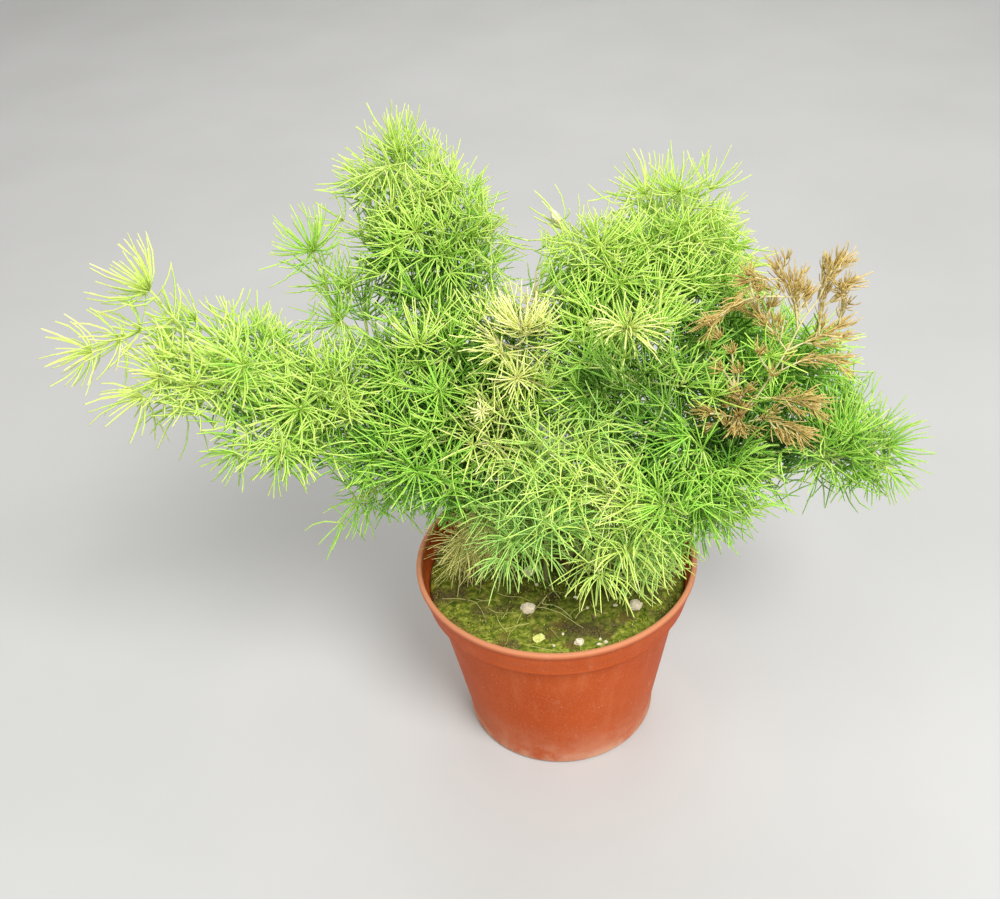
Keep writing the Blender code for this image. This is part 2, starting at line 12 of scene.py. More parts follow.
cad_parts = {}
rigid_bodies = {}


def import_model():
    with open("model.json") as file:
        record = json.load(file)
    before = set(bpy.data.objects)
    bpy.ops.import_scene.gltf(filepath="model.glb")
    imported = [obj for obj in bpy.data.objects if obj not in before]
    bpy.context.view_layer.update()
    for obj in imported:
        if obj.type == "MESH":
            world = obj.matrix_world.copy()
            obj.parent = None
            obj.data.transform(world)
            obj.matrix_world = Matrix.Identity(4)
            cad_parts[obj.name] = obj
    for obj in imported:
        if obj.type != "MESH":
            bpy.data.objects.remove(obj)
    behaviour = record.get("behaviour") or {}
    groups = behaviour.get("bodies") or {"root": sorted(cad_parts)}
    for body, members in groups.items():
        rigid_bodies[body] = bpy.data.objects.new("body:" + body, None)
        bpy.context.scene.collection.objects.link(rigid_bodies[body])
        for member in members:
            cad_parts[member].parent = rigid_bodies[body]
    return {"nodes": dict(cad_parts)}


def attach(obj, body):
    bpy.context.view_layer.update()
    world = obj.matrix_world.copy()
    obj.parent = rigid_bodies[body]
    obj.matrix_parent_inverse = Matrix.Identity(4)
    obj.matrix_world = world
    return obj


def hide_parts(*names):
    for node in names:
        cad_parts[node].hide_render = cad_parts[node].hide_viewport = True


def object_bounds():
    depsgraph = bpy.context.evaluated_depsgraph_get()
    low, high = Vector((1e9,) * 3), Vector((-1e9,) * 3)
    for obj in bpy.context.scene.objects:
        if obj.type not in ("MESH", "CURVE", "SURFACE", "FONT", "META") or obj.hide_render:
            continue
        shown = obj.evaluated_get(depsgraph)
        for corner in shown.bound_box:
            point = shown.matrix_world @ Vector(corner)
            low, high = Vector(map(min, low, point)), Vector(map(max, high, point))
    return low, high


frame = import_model()
CAD_LOW, CAD_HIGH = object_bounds()

MM = 0.001
SEED = 11
TINY = 1e-9
FAR = 1e9
UPWARD = Vector((0, 0, 1))

# Pot and soil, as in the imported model
POT_HEIGHT = 75.0
RIM_RADIUS = 52.5
BAND_FOOT_RADIUS = 49.6
BAND_HEIGHT = 12.6
BODY_TOP_RADIUS = 46.4
BASE_RADIUS = 36.4
WALL = 1.3
LIP = 2.0
FLOOR = 1.6
DRAIN_HOLES = 6
DRAIN_RADIUS = 3.2
DRAIN_CIRCLE = 26.0
SOIL_TOP = 66.0
SOIL_DOME = 1.8
SOIL_BUMP = 0.9
GAP = 0.3
HOLE_DEPTH = 11.0

# The visible soil's edge, tries to place a point of moss, and threads besides those listed
SOIL_EDGE = 48.3
MOSS_TRIES = 5200
LOOSE_THREADS = 40

# Stems and twigs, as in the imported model: radii, tries to lay one, and how far each try shifts it more
STEM_RADIUS = (1.45, 0.65)
TWIG_RADIUS = (0.75, 0.55)
CLEARANCE = 0.35
FOOT_RAISED = 2
STEM_START = 71
STEM_RUN_IN = 20
STEM_SPACING = 17
STEM_TRIES = 80
STEM_SHIFT = 0.12
TWIG_TRIES = 120
TWIG_SHIFT = 0.05

# Where a twig may leave its stem, what turning away costs it, and the bow of a long one, as packed
TWIG_LOWEST = 74
TWIG_SHORTEST = 5
TWIG_TURN_COST = 1.7
TWIG_BENT = 20
TWIG_BOW = 0.14
TWIG_SWAY = 0.4

# Fine stems and twigs: radii at foot and tip, spacing of their points, and how much nodes swell
FINE_STEM = (1.2, 0.38)
FINE_TWIG = (0.46, 0.28)
FINE_TWIGLET = (0.34, 0.24)
STEM_STEP = 3.0
TWIG_STEP = 2.2
SWELLING = 1.16

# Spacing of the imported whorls; where the last two nodes of a line are, back from its end; what stays
# bare at its foot; and how far whorls lean (degrees)
STEM_NODES = 16.0
TWIG_NODES = 11.5
LAST_STEM_NODE = 4.5
LAST_TWIG_NODE = 6.75
NEXT_NODE = 12.5
BARE_STEM = 34
BARE_TWIG = 2.5
LEANS = (36, 70)
SIDE_LEANS = (34, 66)

# Dried twigs: spacing of nodes, how far back from the end they have needles, and how far these lean
DRY_NODES = 2.2
DRY_LEAFY = 14
DRY_SIDE_NODES = 2.4
DRY_LEANS = (5, 24)

# Bark turns paler from this height, over this rise
BARK_LOW = 74
BARK_RISE = 60

# Packed needles: points that are one (metres), and the shortest edge at a needle's tip
SAME_POINT = 2e-6
NEEDLE_EDGE = 4.5

# Needles: radius, how they curve, and how hue and brightness change towards the node and the tip; the
# brightening towards the node is painted light
NEEDLE_WIDTH = 0.30
NEEDLE_BEND = (0.07, 0.28)
NEEDLE_SWAY = 0.04
ACROSS = (0.31, 0.55, 0.77)
TIP_HUE = 0.22
TIP_SHADE = 1.05
NODE_HUE = 0.02
NODE_PAINTED_LIGHT = 0.55
FULL_SHADE = 1.15
HUE_DRIFT = 0.07
HUE_PATCH = 0.06

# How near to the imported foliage, and how far out of it, needles may be; clearances; room past the box;
# the share of a trimmed needle that stays
NEAR = 8.5
TUFT_NEAR = 14.0
TUFT_EDGE = 17.0
CLOSING_NEAR = 20.0
AROUND = 18.0
DRY_CLEAR = 3.0
DRY_CLEAR_TWIG = 5.5
RIM_CLEAR = 0.8
FLOOR_CLEAR = 3
SOIL_REACH = 47.5
BOX_MARGIN = (5.0, 2.5, 4.0)
TRIM_SHARE = 0.6

# Tufts: the turn from needle to needle, the rise, and needles, spread and lengths of the small ones
GOLDEN_TURN = 137.5
TUFT_RISE = 0.12
STAR = (24, 78, (12.5, 16.0))
DRY_STAR = (15, 30, (4.0, 7.0))

# Filling: rounds and tries; the lowest place, and how far tries stray from a needle; how far around, and
# how many points of packed needles must be there; the same for the needles that may be there already;
# the space between side twigs, their lengths, and how far out of the foliage they may end
FILL_ROUNDS = 4
FILL_TRIES = 3500
FILL_LOWEST = 82
FILL_STRAY = (4, 9)
THICK_AROUND = 18
THICK = 48
SPARSE_AROUND = 7
SPARSE = 19
FILL_SPACE = 7.2
FILL_TWIGS = (4, 22)
FILL_DEPTH = 5.5

# Shortest and longest twigs that close the crown, and the shortest that carries a tuft
CLOSING_TWIGS = (4, 40)
TUFT_TWIG = 2

# Covered needles get painted shade: where to look for cover, how many needles hide one fully, and what
# that changes
COVER_WAY = Vector((0.15, -0.55, 0.82))
COVER_REACH = 12.0
COVER_FULL = 100.0
COVER_HUE = 0.30
COVER_SHADE = 0.68
COVER_WIDTH = 0.5
FRONT_COVER = 0.78

# The bud: largest radius, length and rows of scales
BUD_RADIUS = 1.85
BUD_LENGTH = 8.4
BUD_SCALES = 5.0

# Middle of the painted shade on the soil (metres)
SHADE_CENTRE = (0.008, 0.006, 0.067)

# Each stem: where it stands in the soil, its route, and the tips of its twigs (millimetres)
STEMS = {
    "far_left_stem": {
        "foot": (-13, 8),
        "route": [(-30, 2, 107), (-43, 0, 121), (-57, -4, 139), (-70, -8, 154), (-82, -8, 163),
                  (-95, -8, 172), (-108, -6, 179), (-120, -6, 187), (-130, -8, 187), (-145, -12, 184)],
        "tips": [(-123, -6, 201), (-121, -24, 178), (-118, 2, 173), (-106, -22, 174), (-102, -2, 178),
                 (-97, -26, 178), (-95, 9, 170), (-81, -30, 167), (-98, -34, 162), (-87, -38, 156),
                 (-93, 8, 154), (-79, 10, 145), (-70, -16, 171), (-80, -22, 150)],
    },
    "low_left_stem": {
        "foot": (-19, 3),
        "route": [(-27, -8, 108), (-34, -14, 121), (-44, -17, 131), (-53, -19, 138), (-60, -21, 140)],
        "tips": [(-63, -14, 122), (-76, -12, 107), (-47, -30, 142), (-73, -20, 140), (-38, -34, 140),
                 (-50, -3, 134)],
    },
    "mid_left_stem": {
        "foot": (-12, 17),
        "route": [(-27, 16, 104), (-39, 16, 121), (-52, 16, 141), (-58, 16, 158), (-62, 16, 168),
                  (-70, 14, 173), (-72, 14, 190), (-74, 14, 200)],
        "tips": [(-61, 22, 176), (-66, 20, 182), (-65, 6, 168), (-62, 27, 146), (-52, 4, 160),
                 (-56, 32, 125), (-42, 6, 148)],
    },
    "upper_left_stem": {
        "foot": (-4, 18),
        "route": [(-17, 20, 100), (-20, 24, 132), (-21, 28, 158), (-27, 34, 177), (-33, 36, 193),
                  (-40, 38, 206), (-46, 40, 216), (-46, 40, 225)],
        "tips": [(-58, 38, 213), (-47, 26, 222), (-37, 46, 213), (-31, 54, 208), (-25, 41, 206),
                 (-19, 48, 196), (-17, 33, 194), (-18, 38, 180), (-52, 28, 197), (-44, 16, 201),
                 (-48, 30, 186), (-42, 54, 188), (-27, 20, 199)],
    },
    "left_stem": {
        "foot": (-6, 10),
        "route": [(-21, 6, 102), (-25, 5, 127), (-30, 4, 147), (-36, 4, 161), (-43, 2, 169)],
        "tips": [(-38, 10, 179), (-50, -8, 165), (-32, 15, 167), (-29, -5, 170), (-29, 20, 142),
                 (-36, -17, 156), (-40, -25, 149), (-27, -15, 146), (-28, 24, 171), (-30, 36, 118)],
    },
    "centre_stem": {
        "foot": (-1, 4),
        "route": [(-9, 1, 111), (-10, 0, 133), (-10, 0, 152), (-9, -2, 167), (-9, -2, 177)],
        "tips": [(-17, -8, 174), (1, 6, 168), (-10, -16, 165), (-20, -17, 155), (-18, -26, 143),
                 (-22, 8, 155), (-2, 9, 180)],
    },
    "top_right_stem": {
        "foot": (13, 14),
        "route": [(15, 18, 92), (23, 21, 121), (33, 26, 148), (40, 30, 172), (46, 32, 189), (52, 32, 201)],
        "tips": [(36, 34, 204), (45, 44, 197), (57, 22, 201), (51, 17, 192), (63, 36, 187),
                 (62, 19, 186), (44, 54, 186), (70, 32, 173), (34, 13, 194), (59, 52, 182),
                 (67, 48, 158)],
    },
    "back_stem": {
        "foot": (5, 17),
        "route": [(7, 21, 95), (12, 26, 118), (16, 27, 148), (19, 22, 174), (20, 16, 193)],
        "tips": [(8, 21, 199), (10, 6, 200), (11, 18, 188), (28, 14, 191), (25, 3, 186),
                 (34, 35, 177), (27, 50, 145), (7, 48, 137), (43, 60, 146), (12, 45, 171),
                 (-4, 44, 110), (26, 48, 114)],
    },
    "inner_right_stem": {
        "foot": (8, 8),
        "route": [(11, 0, 104), (17, -6, 131), (23, -8, 154), (26, -10, 176)],
        "tips": [(14, -5, 178), (5, -6, 170), (37, 2, 181), (49, 10, 175), (36, -8, 172),
                 (42, -27, 164), (27, -27, 165), (10, -25, 162), (61, 20, 169), (17, -31, 177)],
    },
    "right_mid_stem": {
        "foot": (19, 8),
        "route": [(23, 9, 92), (36, 10, 112), (54, 11, 129), (69, 10, 145), (82, 8, 155), (91, 6, 155)],
        "tips": [(58, 0, 164), (72, 26, 147), (83, 22, 149), (75, -5, 154), (97, 9, 137),
                 (80, 26, 122), (67, 28, 129), (62, -12, 144), (100, 11, 151), (91, 10, 121)],
    },
    "low_right_stem": {
        "foot": (14, 1),
        "route": [(19, -10, 101), (32, -18, 121), (48, -24, 132), (60, -28, 137)],
        "tips": [(45, -40, 149), (54, -38, 131), (62, -26, 116), (69, -19, 127), (45, -41, 123),
                 (34, -38, 146), (27, -33, 154), (54, -33, 115), (31, -50, 136)],
    },
    "right_stem": {
        "foot": (21, 0),
        "route": [(29, 0, 94), (46, -4, 105), (66, -8, 111), (76, -10, 113), (88, -10, 116),
                  (100, -10, 119), (110, -10, 122), (117, -10, 122)],
        "tips": [(116, 1, 123), (107, 3, 133), (102, 10, 129), (96, -19, 136), (88, -26, 130),
                 (101, -20, 118), (114, -18, 118), (114, 7, 110), (108, 15, 101)],
    },
    "dried_stem": {
        "foot": (9, -5),
        "route": [(18, -13, 112), (35, -20, 128), (51, -21, 136), (62, -20, 147), (68, -19, 156),
                  (75, -18, 169), (80, -16, 179), (86, -14, 187), (90, -12, 196)],
        "tips": [(71, -14, 196), (77, -8, 188), (94, -14, 189), (93, -12, 173), (93, -17, 164),
                 (62, -14, 193), (67, -12, 180), (49, -20, 183), (48, -31, 157), (57, -27, 160),
                 (83, -25, 154), (79, -30, 146), (57, -35, 157)],
    },
    "front_right_stem": {
        "foot": (4, -3),
        "route": [(11, -13, 102), (15, -22, 113), (18, -32, 125)],
        "tips": [(21, -37, 106), (34, -30, 104), (23, -34, 91), (34, -20, 87), (9, -39, 105),
                 (13, -41, 117), (26, -43, 124), (10, -30, 136), (36, -25, 113), (10, -28, 88)],
    },
    "front_left_stem": {
        "foot": (-4, -6),
        "route": [(-4, -13, 98), (-6, -19, 106), (-10, -26, 110), (-14, -32, 112)],
        "tips": [(-20, -30, 105), (-5, -37, 108), (-2, -37, 135), (10, -35, 153), (-9, -31, 142),
                 (5, -40, 129), (-3, -44, 125), (-21, -28, 123), (-12, -20, 124)],
    },
    "old_stem": {
        "foot": (-21, 11),
        "route": [(-22, 12, 84), (-25, 14, 92), (-29, 15, 95)],
        "tips": [(-34, 13, 85), (-39, 10, 77), (-36, 1, 75), (-28, 1, 76), (-28, -10, 91)],
    },
}

# Grains of perlite and the leaf scrap on the soil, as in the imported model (millimetres)
PERLITE = {
    "perlite_front": ((-12.0, -20.8), (2.7, 2.3, 2.0)),
    "perlite_right": ((27.3, -22.8), (2.4, 2.2, 1.9)),
    "perlite_back": ((-10.4, -1.3), (2.2, 2.0, 1.8)),
    "perlite_rim": ((5.0, -38.6), (1.7, 1.5, 1.3)),
}
LEAF_SCRAP = (-9.0, -35.5)
LEAF_SCRAP_SIZE = (4.6, 3.2, 0.7)
BUD_CENTRE = Vector((5.8, 21.6, 201.6))

# Small bits of perlite, and threads of litter, where they lie on the soil (millimetres)
PERLITE_BITS = ((-7.9, -8.5), (-4.0, -39.4), (9.7, -21.7), (12.6, -37.4), (14.4, -38.8), (12.0, -39.8),
                (-45.1, 11.1), (-36.0, 4.0))
THREADS = (
    ((-43.7, -10.3), (-37.7, -11.2), (-32.1, -13.8), (-29.0, -18.8), (-27.4, -25.5)),
    ((-15.3, -27.4), (-19.1, -31.4), (-20.7, -36.9)),
    ((-8.9, -19.5), (-4.0, -21.4), (1.2, -25.2), (7.3, -32.2)),
    ((-6.9, -17.7), (-1.1, -20.3), (3.8, -26.7)),
    ((-5.1, -30.6), (-3.2, -33.0), (-1.7, -36.4)),
    ((-12.4, -38.6), (-6.3, -41.2), (0.1, -42.5)),
    ((-39.1, -11.7), (-43.1, -14.4), (-44.0, -10.5)),
    ((-31.2, -12.5), (-27.1, -14.3), (-24.5, -13.6)),
    ((0.2, -15.8), (-3.1, -9.3), (-5.2, -0.7)),
)


# Each stem's foliage: hue from 0, bluish green, to 1, pale straw; brightness; needles added at each whorl,
# end tuft and side tuft; share of midway nodes with a whorl, and of nodes with a side twig; lengths of
# side twigs and needles (millimetres); share of the usual width of needles and of stems; how far a tuft
# spreads (degrees); how far needles arch over; how near to the imported foliage they stay, how far out of
# it they may reach, and the lowest node with leaves (millimetres); whether its gaps are filled
# A stem's shade is painted light and shade over the whole stem
PLAIN = {"kind": "green", "slot": "green_foliage", "hue": 0.50, "shade": 1.0, "whorl": 6, "tuft": 14,
         "side_tuft": 15, "midway": 0.3, "branch": 0.4, "branch_length": (6, 10), "length": (13.0, 16.0),
         "width": 0.88, "stalk": 1.0, "spread": 56, "arch": 0.0, "near": NEAR, "edge": 8.3, "lowest": 84,
         "fill": True}
LOOKS = {name: dict(PLAIN) for name in STEMS}
LOOKS["far_left_stem"].update(slot="lime_foliage", hue=0.61, tuft=7, side_tuft=12, branch=0.3, width=1.0,
                              near=8.0, edge=9.0)
LOOKS["low_left_stem"].update(hue=0.46, branch=0.3, whorl=7, tuft=10, side_tuft=10, midway=0.5, near=8.0,
                              edge=9.5)
LOOKS["mid_left_stem"].update(hue=0.56, branch=0.35, whorl=9, tuft=12, side_tuft=10, midway=0.5, shade=0.92,
                              near=11.0, edge=13.0, length=(14.0, 18.0), spread=72, fill=False)
LOOKS["upper_left_stem"].update(hue=0.58, tuft=15, edge=7.7)
LOOKS["left_stem"].update(shade=0.96)
LOOKS["centre_stem"].update(kind="pale", slot="pale_foliage", hue=0.58, tuft=12, shade=1.05, near=7.0)
LOOKS["top_right_stem"].update(slot="lime_foliage", hue=0.59, side_tuft=12, branch=0.3, edge=7.7)
LOOKS["back_stem"].update(hue=0.56)
LOOKS["inner_right_stem"].update(slot="lime_foliage", hue=0.58, shade=1.04)
LOOKS["right_mid_stem"].update(hue=0.48)
LOOKS["low_right_stem"].update(hue=0.48, arch=0.1, shade=0.96)
LOOKS["right_stem"].update(hue=0.46, shade=0.81, branch=0.3, spread=46, length=(13.0, 16.5))
LOOKS["dried_stem"].update(kind="dried", slot="dried_foliage", whorl=4, tuft=6, side_tuft=6, branch=0.7,
                           branch_length=(3.5, 7.5), length=(4.0, 6.6), width=0.66, stalk=0.55, spread=20,
                           midway=0.0, edge=12.0, fill=False)
for name in ("front_right_stem", "front_left_stem"):
    LOOKS[name].update(kind="front", length=(14.0, 18.5), width=0.80, spread=86, branch=0.25, near=10.0,
                       edge=10.0)
LOOKS["front_right_stem"].update(slot="lime_foliage", hue=0.60, arch=0.14, whorl=4, tuft=10, side_tuft=10,
                                 shade=1.15)
LOOKS["front_left_stem"].update(slot="deep_green_foliage", arch=0.16, whorl=3, tuft=9, side_tuft=9,
                                shade=1.06)
LOOKS["old_stem"].update(kind="old", slot="old_foliage", branch=1.0, whorl=18, tuft=28, side_tuft=26,
                         midway=1.0, length=(10.0, 18.0), width=0.45, stalk=0.6, spread=88, arch=0.15,
                         near=16.0, edge=16.0, shade=1.3, lowest=68, fill=False)

# Twig ends that only the fine foliage has, where it closes the crown over the inner stems
CLOSING = {
    "inner_right_stem": [(44, 0, 162), (38, 10, 150), (33, -8, 150), (46, 14, 158), (43, -8, 152),
                         (46, 5, 142), (22, 8, 107), (29, 12, 128), (25, 8, 160), (50, 10, 162)],
    "right_mid_stem": [(52, 2, 148), (58, 16, 140), (44, -6, 134), (47, 12, 128), (64, 5, 125),
                       (60, -8, 134), (40, 12, 129), (51, 12, 119), (64, 10, 115), (75, 4, 119),
                       (62, 12, 108), (55, 14, 126), (47, 14, 135)],
    "low_right_stem": [(38, -20, 140), (47, -16, 134), (36, -8, 126), (56, -10, 128), (60, 8, 116),
                       (38, 12, 116), (28, 14, 120), (34, 16, 110)],
    "back_stem": [(32, 30, 132), (18, 34, 128), (14, 16, 133), (8, 12, 125), (18, 12, 118), (3, 8, 113),
                  (13, 10, 147), (5, 8, 156)],
    "left_stem": [(-3, 12, 128), (-6, 14, 144), (-11, 8, 123), (-13, 16, 162), (-31, 12, 163),
                  (-42, 10, 130)],
    "dried_stem": [(89, -14, 196), (93, -14, 189), (86, -14, 184)],
}

# The tufts that stand out: place, the way they face, needles, spread (degrees) and lengths
TUFTS = {
    "inner_right_stem": [((24, -18, 181), (-0.1, -0.9, -0.35), 56, 88, (14, 18)),
                         ((41, -20, 166), (0.3, -0.6, 0.7), 18, 72, (11, 14))],
    "centre_stem": [((-8, -6, 177), (-0.05, -0.25, 1.0), 52, 54, (14, 17)),
                    ((-1, -6, 178), (0.35, -0.3, 0.9), 22, 60, (8, 12)),
                    ((-23, -28, 161), (-0.1, -0.8, 0.6), 18, 74, (3, 5.5)),
                    ((-11, -20, 167), (0, -0.8, 0.6), 20, 74, (8, 11)),
                    ((-22, -20, 154), (-0.2, -0.5, 0.8), 12, 76, (9, 13)),
                    ((-19, -26, 146), (0.0, -0.7, 0.4), 18, 86, (12, 17))],
    "left_stem": [((-42, -6, 174), (-0.1, -0.35, 1.0), 40, 60, (13, 17))],
    "front_left_stem": [((10, -37, 147), (0.1, -0.6, 0.8), 34, 86, (12, 16)),
                        ((-16, -39, 116), (-0.3, -0.8, 0.2), 34, 88, (14, 18)),
                        ((-19, -40, 109), (-0.2, -0.8, -0.4), 22, 60, (13, 18))],
    "front_right_stem": [((17, -41, 132), (0.0, -0.9, 0.35), 40, 88, (13, 17)),
                         ((21, -45, 114), (0.1, -0.9, 0.2), 36, 88, (14, 19)),
                         ((33, -43, 116), (0.5, -0.6, 0.4), 20, 70, (14, 19)),
                         ((12, -46, 105), (0.0, -0.8, -0.5), 18, 60, (13, 18))],
    "top_right_stem": [((47, 28, 205), (0, -0.2, 1.0), 22, 70, (14, 18)),
                       ((62, 30, 190), (0.6, -0.2, 0.8), 16, 54, (13, 16)),
                       ((36, 28, 205), (-0.6, -0.1, 0.8), 18, 60, (13, 17)),
                       ((58, 30, 204), (0.4, 0, 1.0), 14, 56, (14, 17))],
    "upper_left_stem": [((-44, 37, 222), (0.05, 0, 1.0), 24, 60, (14, 18)),
                        ((-55, 32, 212), (-0.9, -0.2, 0.4), 18, 60, (14, 18)),
                        ((-40, 16, 203), (-0.3, -0.6, 0.7), 22, 66, (13, 16))],
    "mid_left_stem": [((-74, 12, 201), (-0.45, -0.1, 0.9), 36, 84, (16, 20)),
                      ((-71, 11, 190), (-0.45, -0.1, 0.8), 14, 80, (15, 19)),
                      ((-63, 12, 188), (-0.4, -0.1, 0.9), 20, 60, (14, 18)),
                      ((-68, 6, 178), (-0.8, -0.2, 0.5), 28, 80, (15, 20)),
                      ((-61, 18, 172), (0.0, -0.1, 1.0), 12, 60, (14, 18))],
    "far_left_stem": [((-123, -6, 200), (-0.8, 0, 0.7), 34, 54, (17, 21)),
                      ((-117, -8, 191), (-0.6, 0, 0.8), 8, 66, (13, 18)),
                      ((-128, -9, 188), (-0.9, 0, 0.35), 12, 72, (15, 19)),
                      ((-134, -12, 187), (-0.9, 0, -0.4), 16, 72, (14, 19)),
                      ((-119, -12, 180), (-0.7, -0.3, 0.2), 18, 76, (13, 17)),
                      ((-143, -14, 184), (-0.95, -0.1, -0.25), 17, 62, (14, 18)),
                      ((-127, -26, 174), (-0.75, -0.1, -0.7), 24, 48, (16, 20)),
                      ((-117, -20, 166), (-0.4, -0.3, -0.7), 12, 56, (14, 18)),
                      ((-100, -35, 156), (-0.7, -0.3, -0.3), 16, 66, (12, 17))],
    "right_stem": [((115, -10, 123), (1.0, -0.1, -0.05), 17, 46, (16, 21)),
                   ((106, 4, 128), (0.5, 0, 0.9), 12, 46, (14, 17)),
                   ((112, -12, 117), (0.8, -0.1, -0.5), 12, 48, (14, 18)),
                   ((99, -21, 136), (0.1, -0.5, 0.9), 20, 66, (14, 17))],
    "old_stem": [((-31, -16, 94), (-0.2, -0.7, 0.6), 32, 88, (10, 17)),
                 ((-36, -14, 88), (-0.4, -0.7, 0.5), 28, 88, (8, 14)),
                 ((-26, -24, 100), (-0.1, -0.8, 0.5), 34, 88, (10, 17)),
                 ((-20, -28, 108), (0.0, -0.8, 0.5), 40, 88, (10, 17)),
                 ((-33, -22, 104), (-0.3, -0.8, 0.4), 40, 88, (10, 17)),
                 ((-25, -27, 116), (-0.2, -0.8, 0.4), 36, 88, (10, 16))],
}

# More tufts that show from the front: place and the way they face
STARS = {
    "far_left_stem": [((-121, -25, 180), (-0.5, -0.6, 0.1)), ((-111, -29, 178), (-0.3, -0.7, 0.4)),
                      ((-94, -28, 184), (-0.3, -0.8, 0.4)),
                      ((-79, -30, 168), (-0.3, -0.8, 0.2)), ((-85, -40, 159), (-0.3, -0.7, -0.2))],
    "left_stem": [((-51, -11, 163), (-0.4, -0.6, 0.6)),
                  ((-36, -18, 163), (0, -0.8, 0.5)), ((-26, -21, 148), (-0.2, -0.8, 0.4))],
    "low_left_stem": [((-60, -25, 143), (-0.4, -0.7, 0.4)), ((-45, -33, 143), (-0.1, -0.9, 0.3))],
    "upper_left_stem": [((-38, 26, 209), (-0.2, -0.6, 0.7)), ((-30, 36, 209), (0.2, -0.5, 0.8)),
                        ((-20, 28, 201), (0.5, -0.6, 0.5)), ((-48, 12, 200), (-0.6, -0.6, 0.4))],
    "back_stem": [((19, 10, 196), (-0.2, -0.5, 0.9))],
    "top_right_stem": [((48, 22, 196), (0, -0.6, 0.8)), ((60, 20, 190), (0.5, -0.5, 0.7))],
    "right_mid_stem": [((50, -28, 160), (0, -0.8, 0.6)), ((70, -16, 166), (0, -0.7, 0.7))],
    "low_right_stem": [((56, -36, 138), (0.1, -0.8, 0.6)), ((44, -44, 131), (0.2, -0.9, 0.2))],
    "dried_stem": [((62, -15, 195), (-0.2, -0.1, 1.0)), ((65, -15, 189), (0.0, -0.2, 1.0)),
                   ((70, -14, 183), (0.3, -0.2, 0.9)), ((68, -16, 178), (-0.6, -0.3, 0.7)),
                   ((49, -24, 184), (-0.4, -0.3, 0.9)), ((52, -24, 179), (-0.5, -0.3, 0.8)),
                   ((56, -25, 174), (-0.2, -0.4, 0.9)), ((53, -26, 169), (-0.8, -0.3, 0.5)),
                   ((58, -27, 168), (-0.3, -0.4, 0.8)), ((65, -22, 171), (0.2, -0.4, 0.9)),
                   ((58, -30, 161), (-0.5, -0.5, 0.7)), ((69, -26, 165), (0.0, -0.4, 0.9)),
                   ((48, -34, 158), (-0.8, -0.4, 0.4)), ((53, -37, 156), (-0.3, -0.5, 0.8))],
}

# Balls that no added needle passes, and where no whorl or side twig is: centre, radius (millimetres)
OPEN_PLACES = (((-6, 20, 196), 11), ((-7, 5, 190), 9), ((-2, 40, 200), 14), ((-3, 20, 209), 8),
               ((-21, 50, 213), 7), ((83, -10, 106), 12), ((-77, -20, 134), 11), ((76, -10, 179), 6),
               ((105, 5, 158), 8), ((73, 28, 192), 8), ((-108, -5, 192), 9), ((-65, -15, 121), 8),
               ((-79, -22, 137), 8), ((-86, -30, 140), 8), ((-112, -30, 164), 7), ((-103, -6, 193), 7),
               ((-84, -6, 189), 6), ((69, 28, 187), 8), ((76, 20, 172), 8), ((102, 0, 158), 7),
               ((112, 0, 143), 8), ((-94, -6, 193), 7), ((-112, -8, 195), 7), ((8, 20, 207), 8),
               ((20, 23, 208), 7), ((6, 20, 203), 6), ((65, 28, 201), 6), ((0, 20, 187), 7),
               ((-9, 20, 186), 6), ((5, 18, 203), 6), ((-62, 28, 206), 7), ((-62, 24, 199), 6),
               ((77, -30, 122), 10), ((47, -40, 109), 7), ((-41, 8, 84), 9))
THIN_PLACES = (((8, -48, 96), 26), ((-138, -12, 190), 19), ((-71, 12, 197), 15), ((-110, -8, 194), 12),
               ((47, 28, 206), 19))

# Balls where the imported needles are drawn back: centre, radius (millimetres)
TRIM_PLACES = (((-33, 36, 230), 7), ((-26, 35, 222), 8), ((-18, 32, 213), 9), ((-9, 28, 206), 9),
               ((-9, 26, 196), 8), ((68, 26, 197), 8), ((71, 24, 186), 9), ((76, 20, 177), 9),
               ((81, 16, 168), 8), ((84, 12, 162), 7), ((-114, -8, 194), 7), ((-105, -10, 190), 7),
               ((-96, -10, 192), 7), ((-88, -8, 189), 7), ((-79, -6, 182), 7), ((-108, -30, 164), 6),
               ((-98, -28, 163), 6), ((-85, -34, 144), 7), ((-76, -32, 143), 7), ((-70, -20, 139), 7),
               ((-65, -20, 125), 7), ((-53, -20, 122), 7), ((-44, -15, 113), 7), ((45, -30, 96), 7),
               ((53, -28, 100), 7), ((64, -24, 101), 7), ((75, -16, 107), 7), ((84, -8, 111), 7))

# Balls where no tip is added
NO_TIPS = OPEN_PLACES + TRIM_PLACES
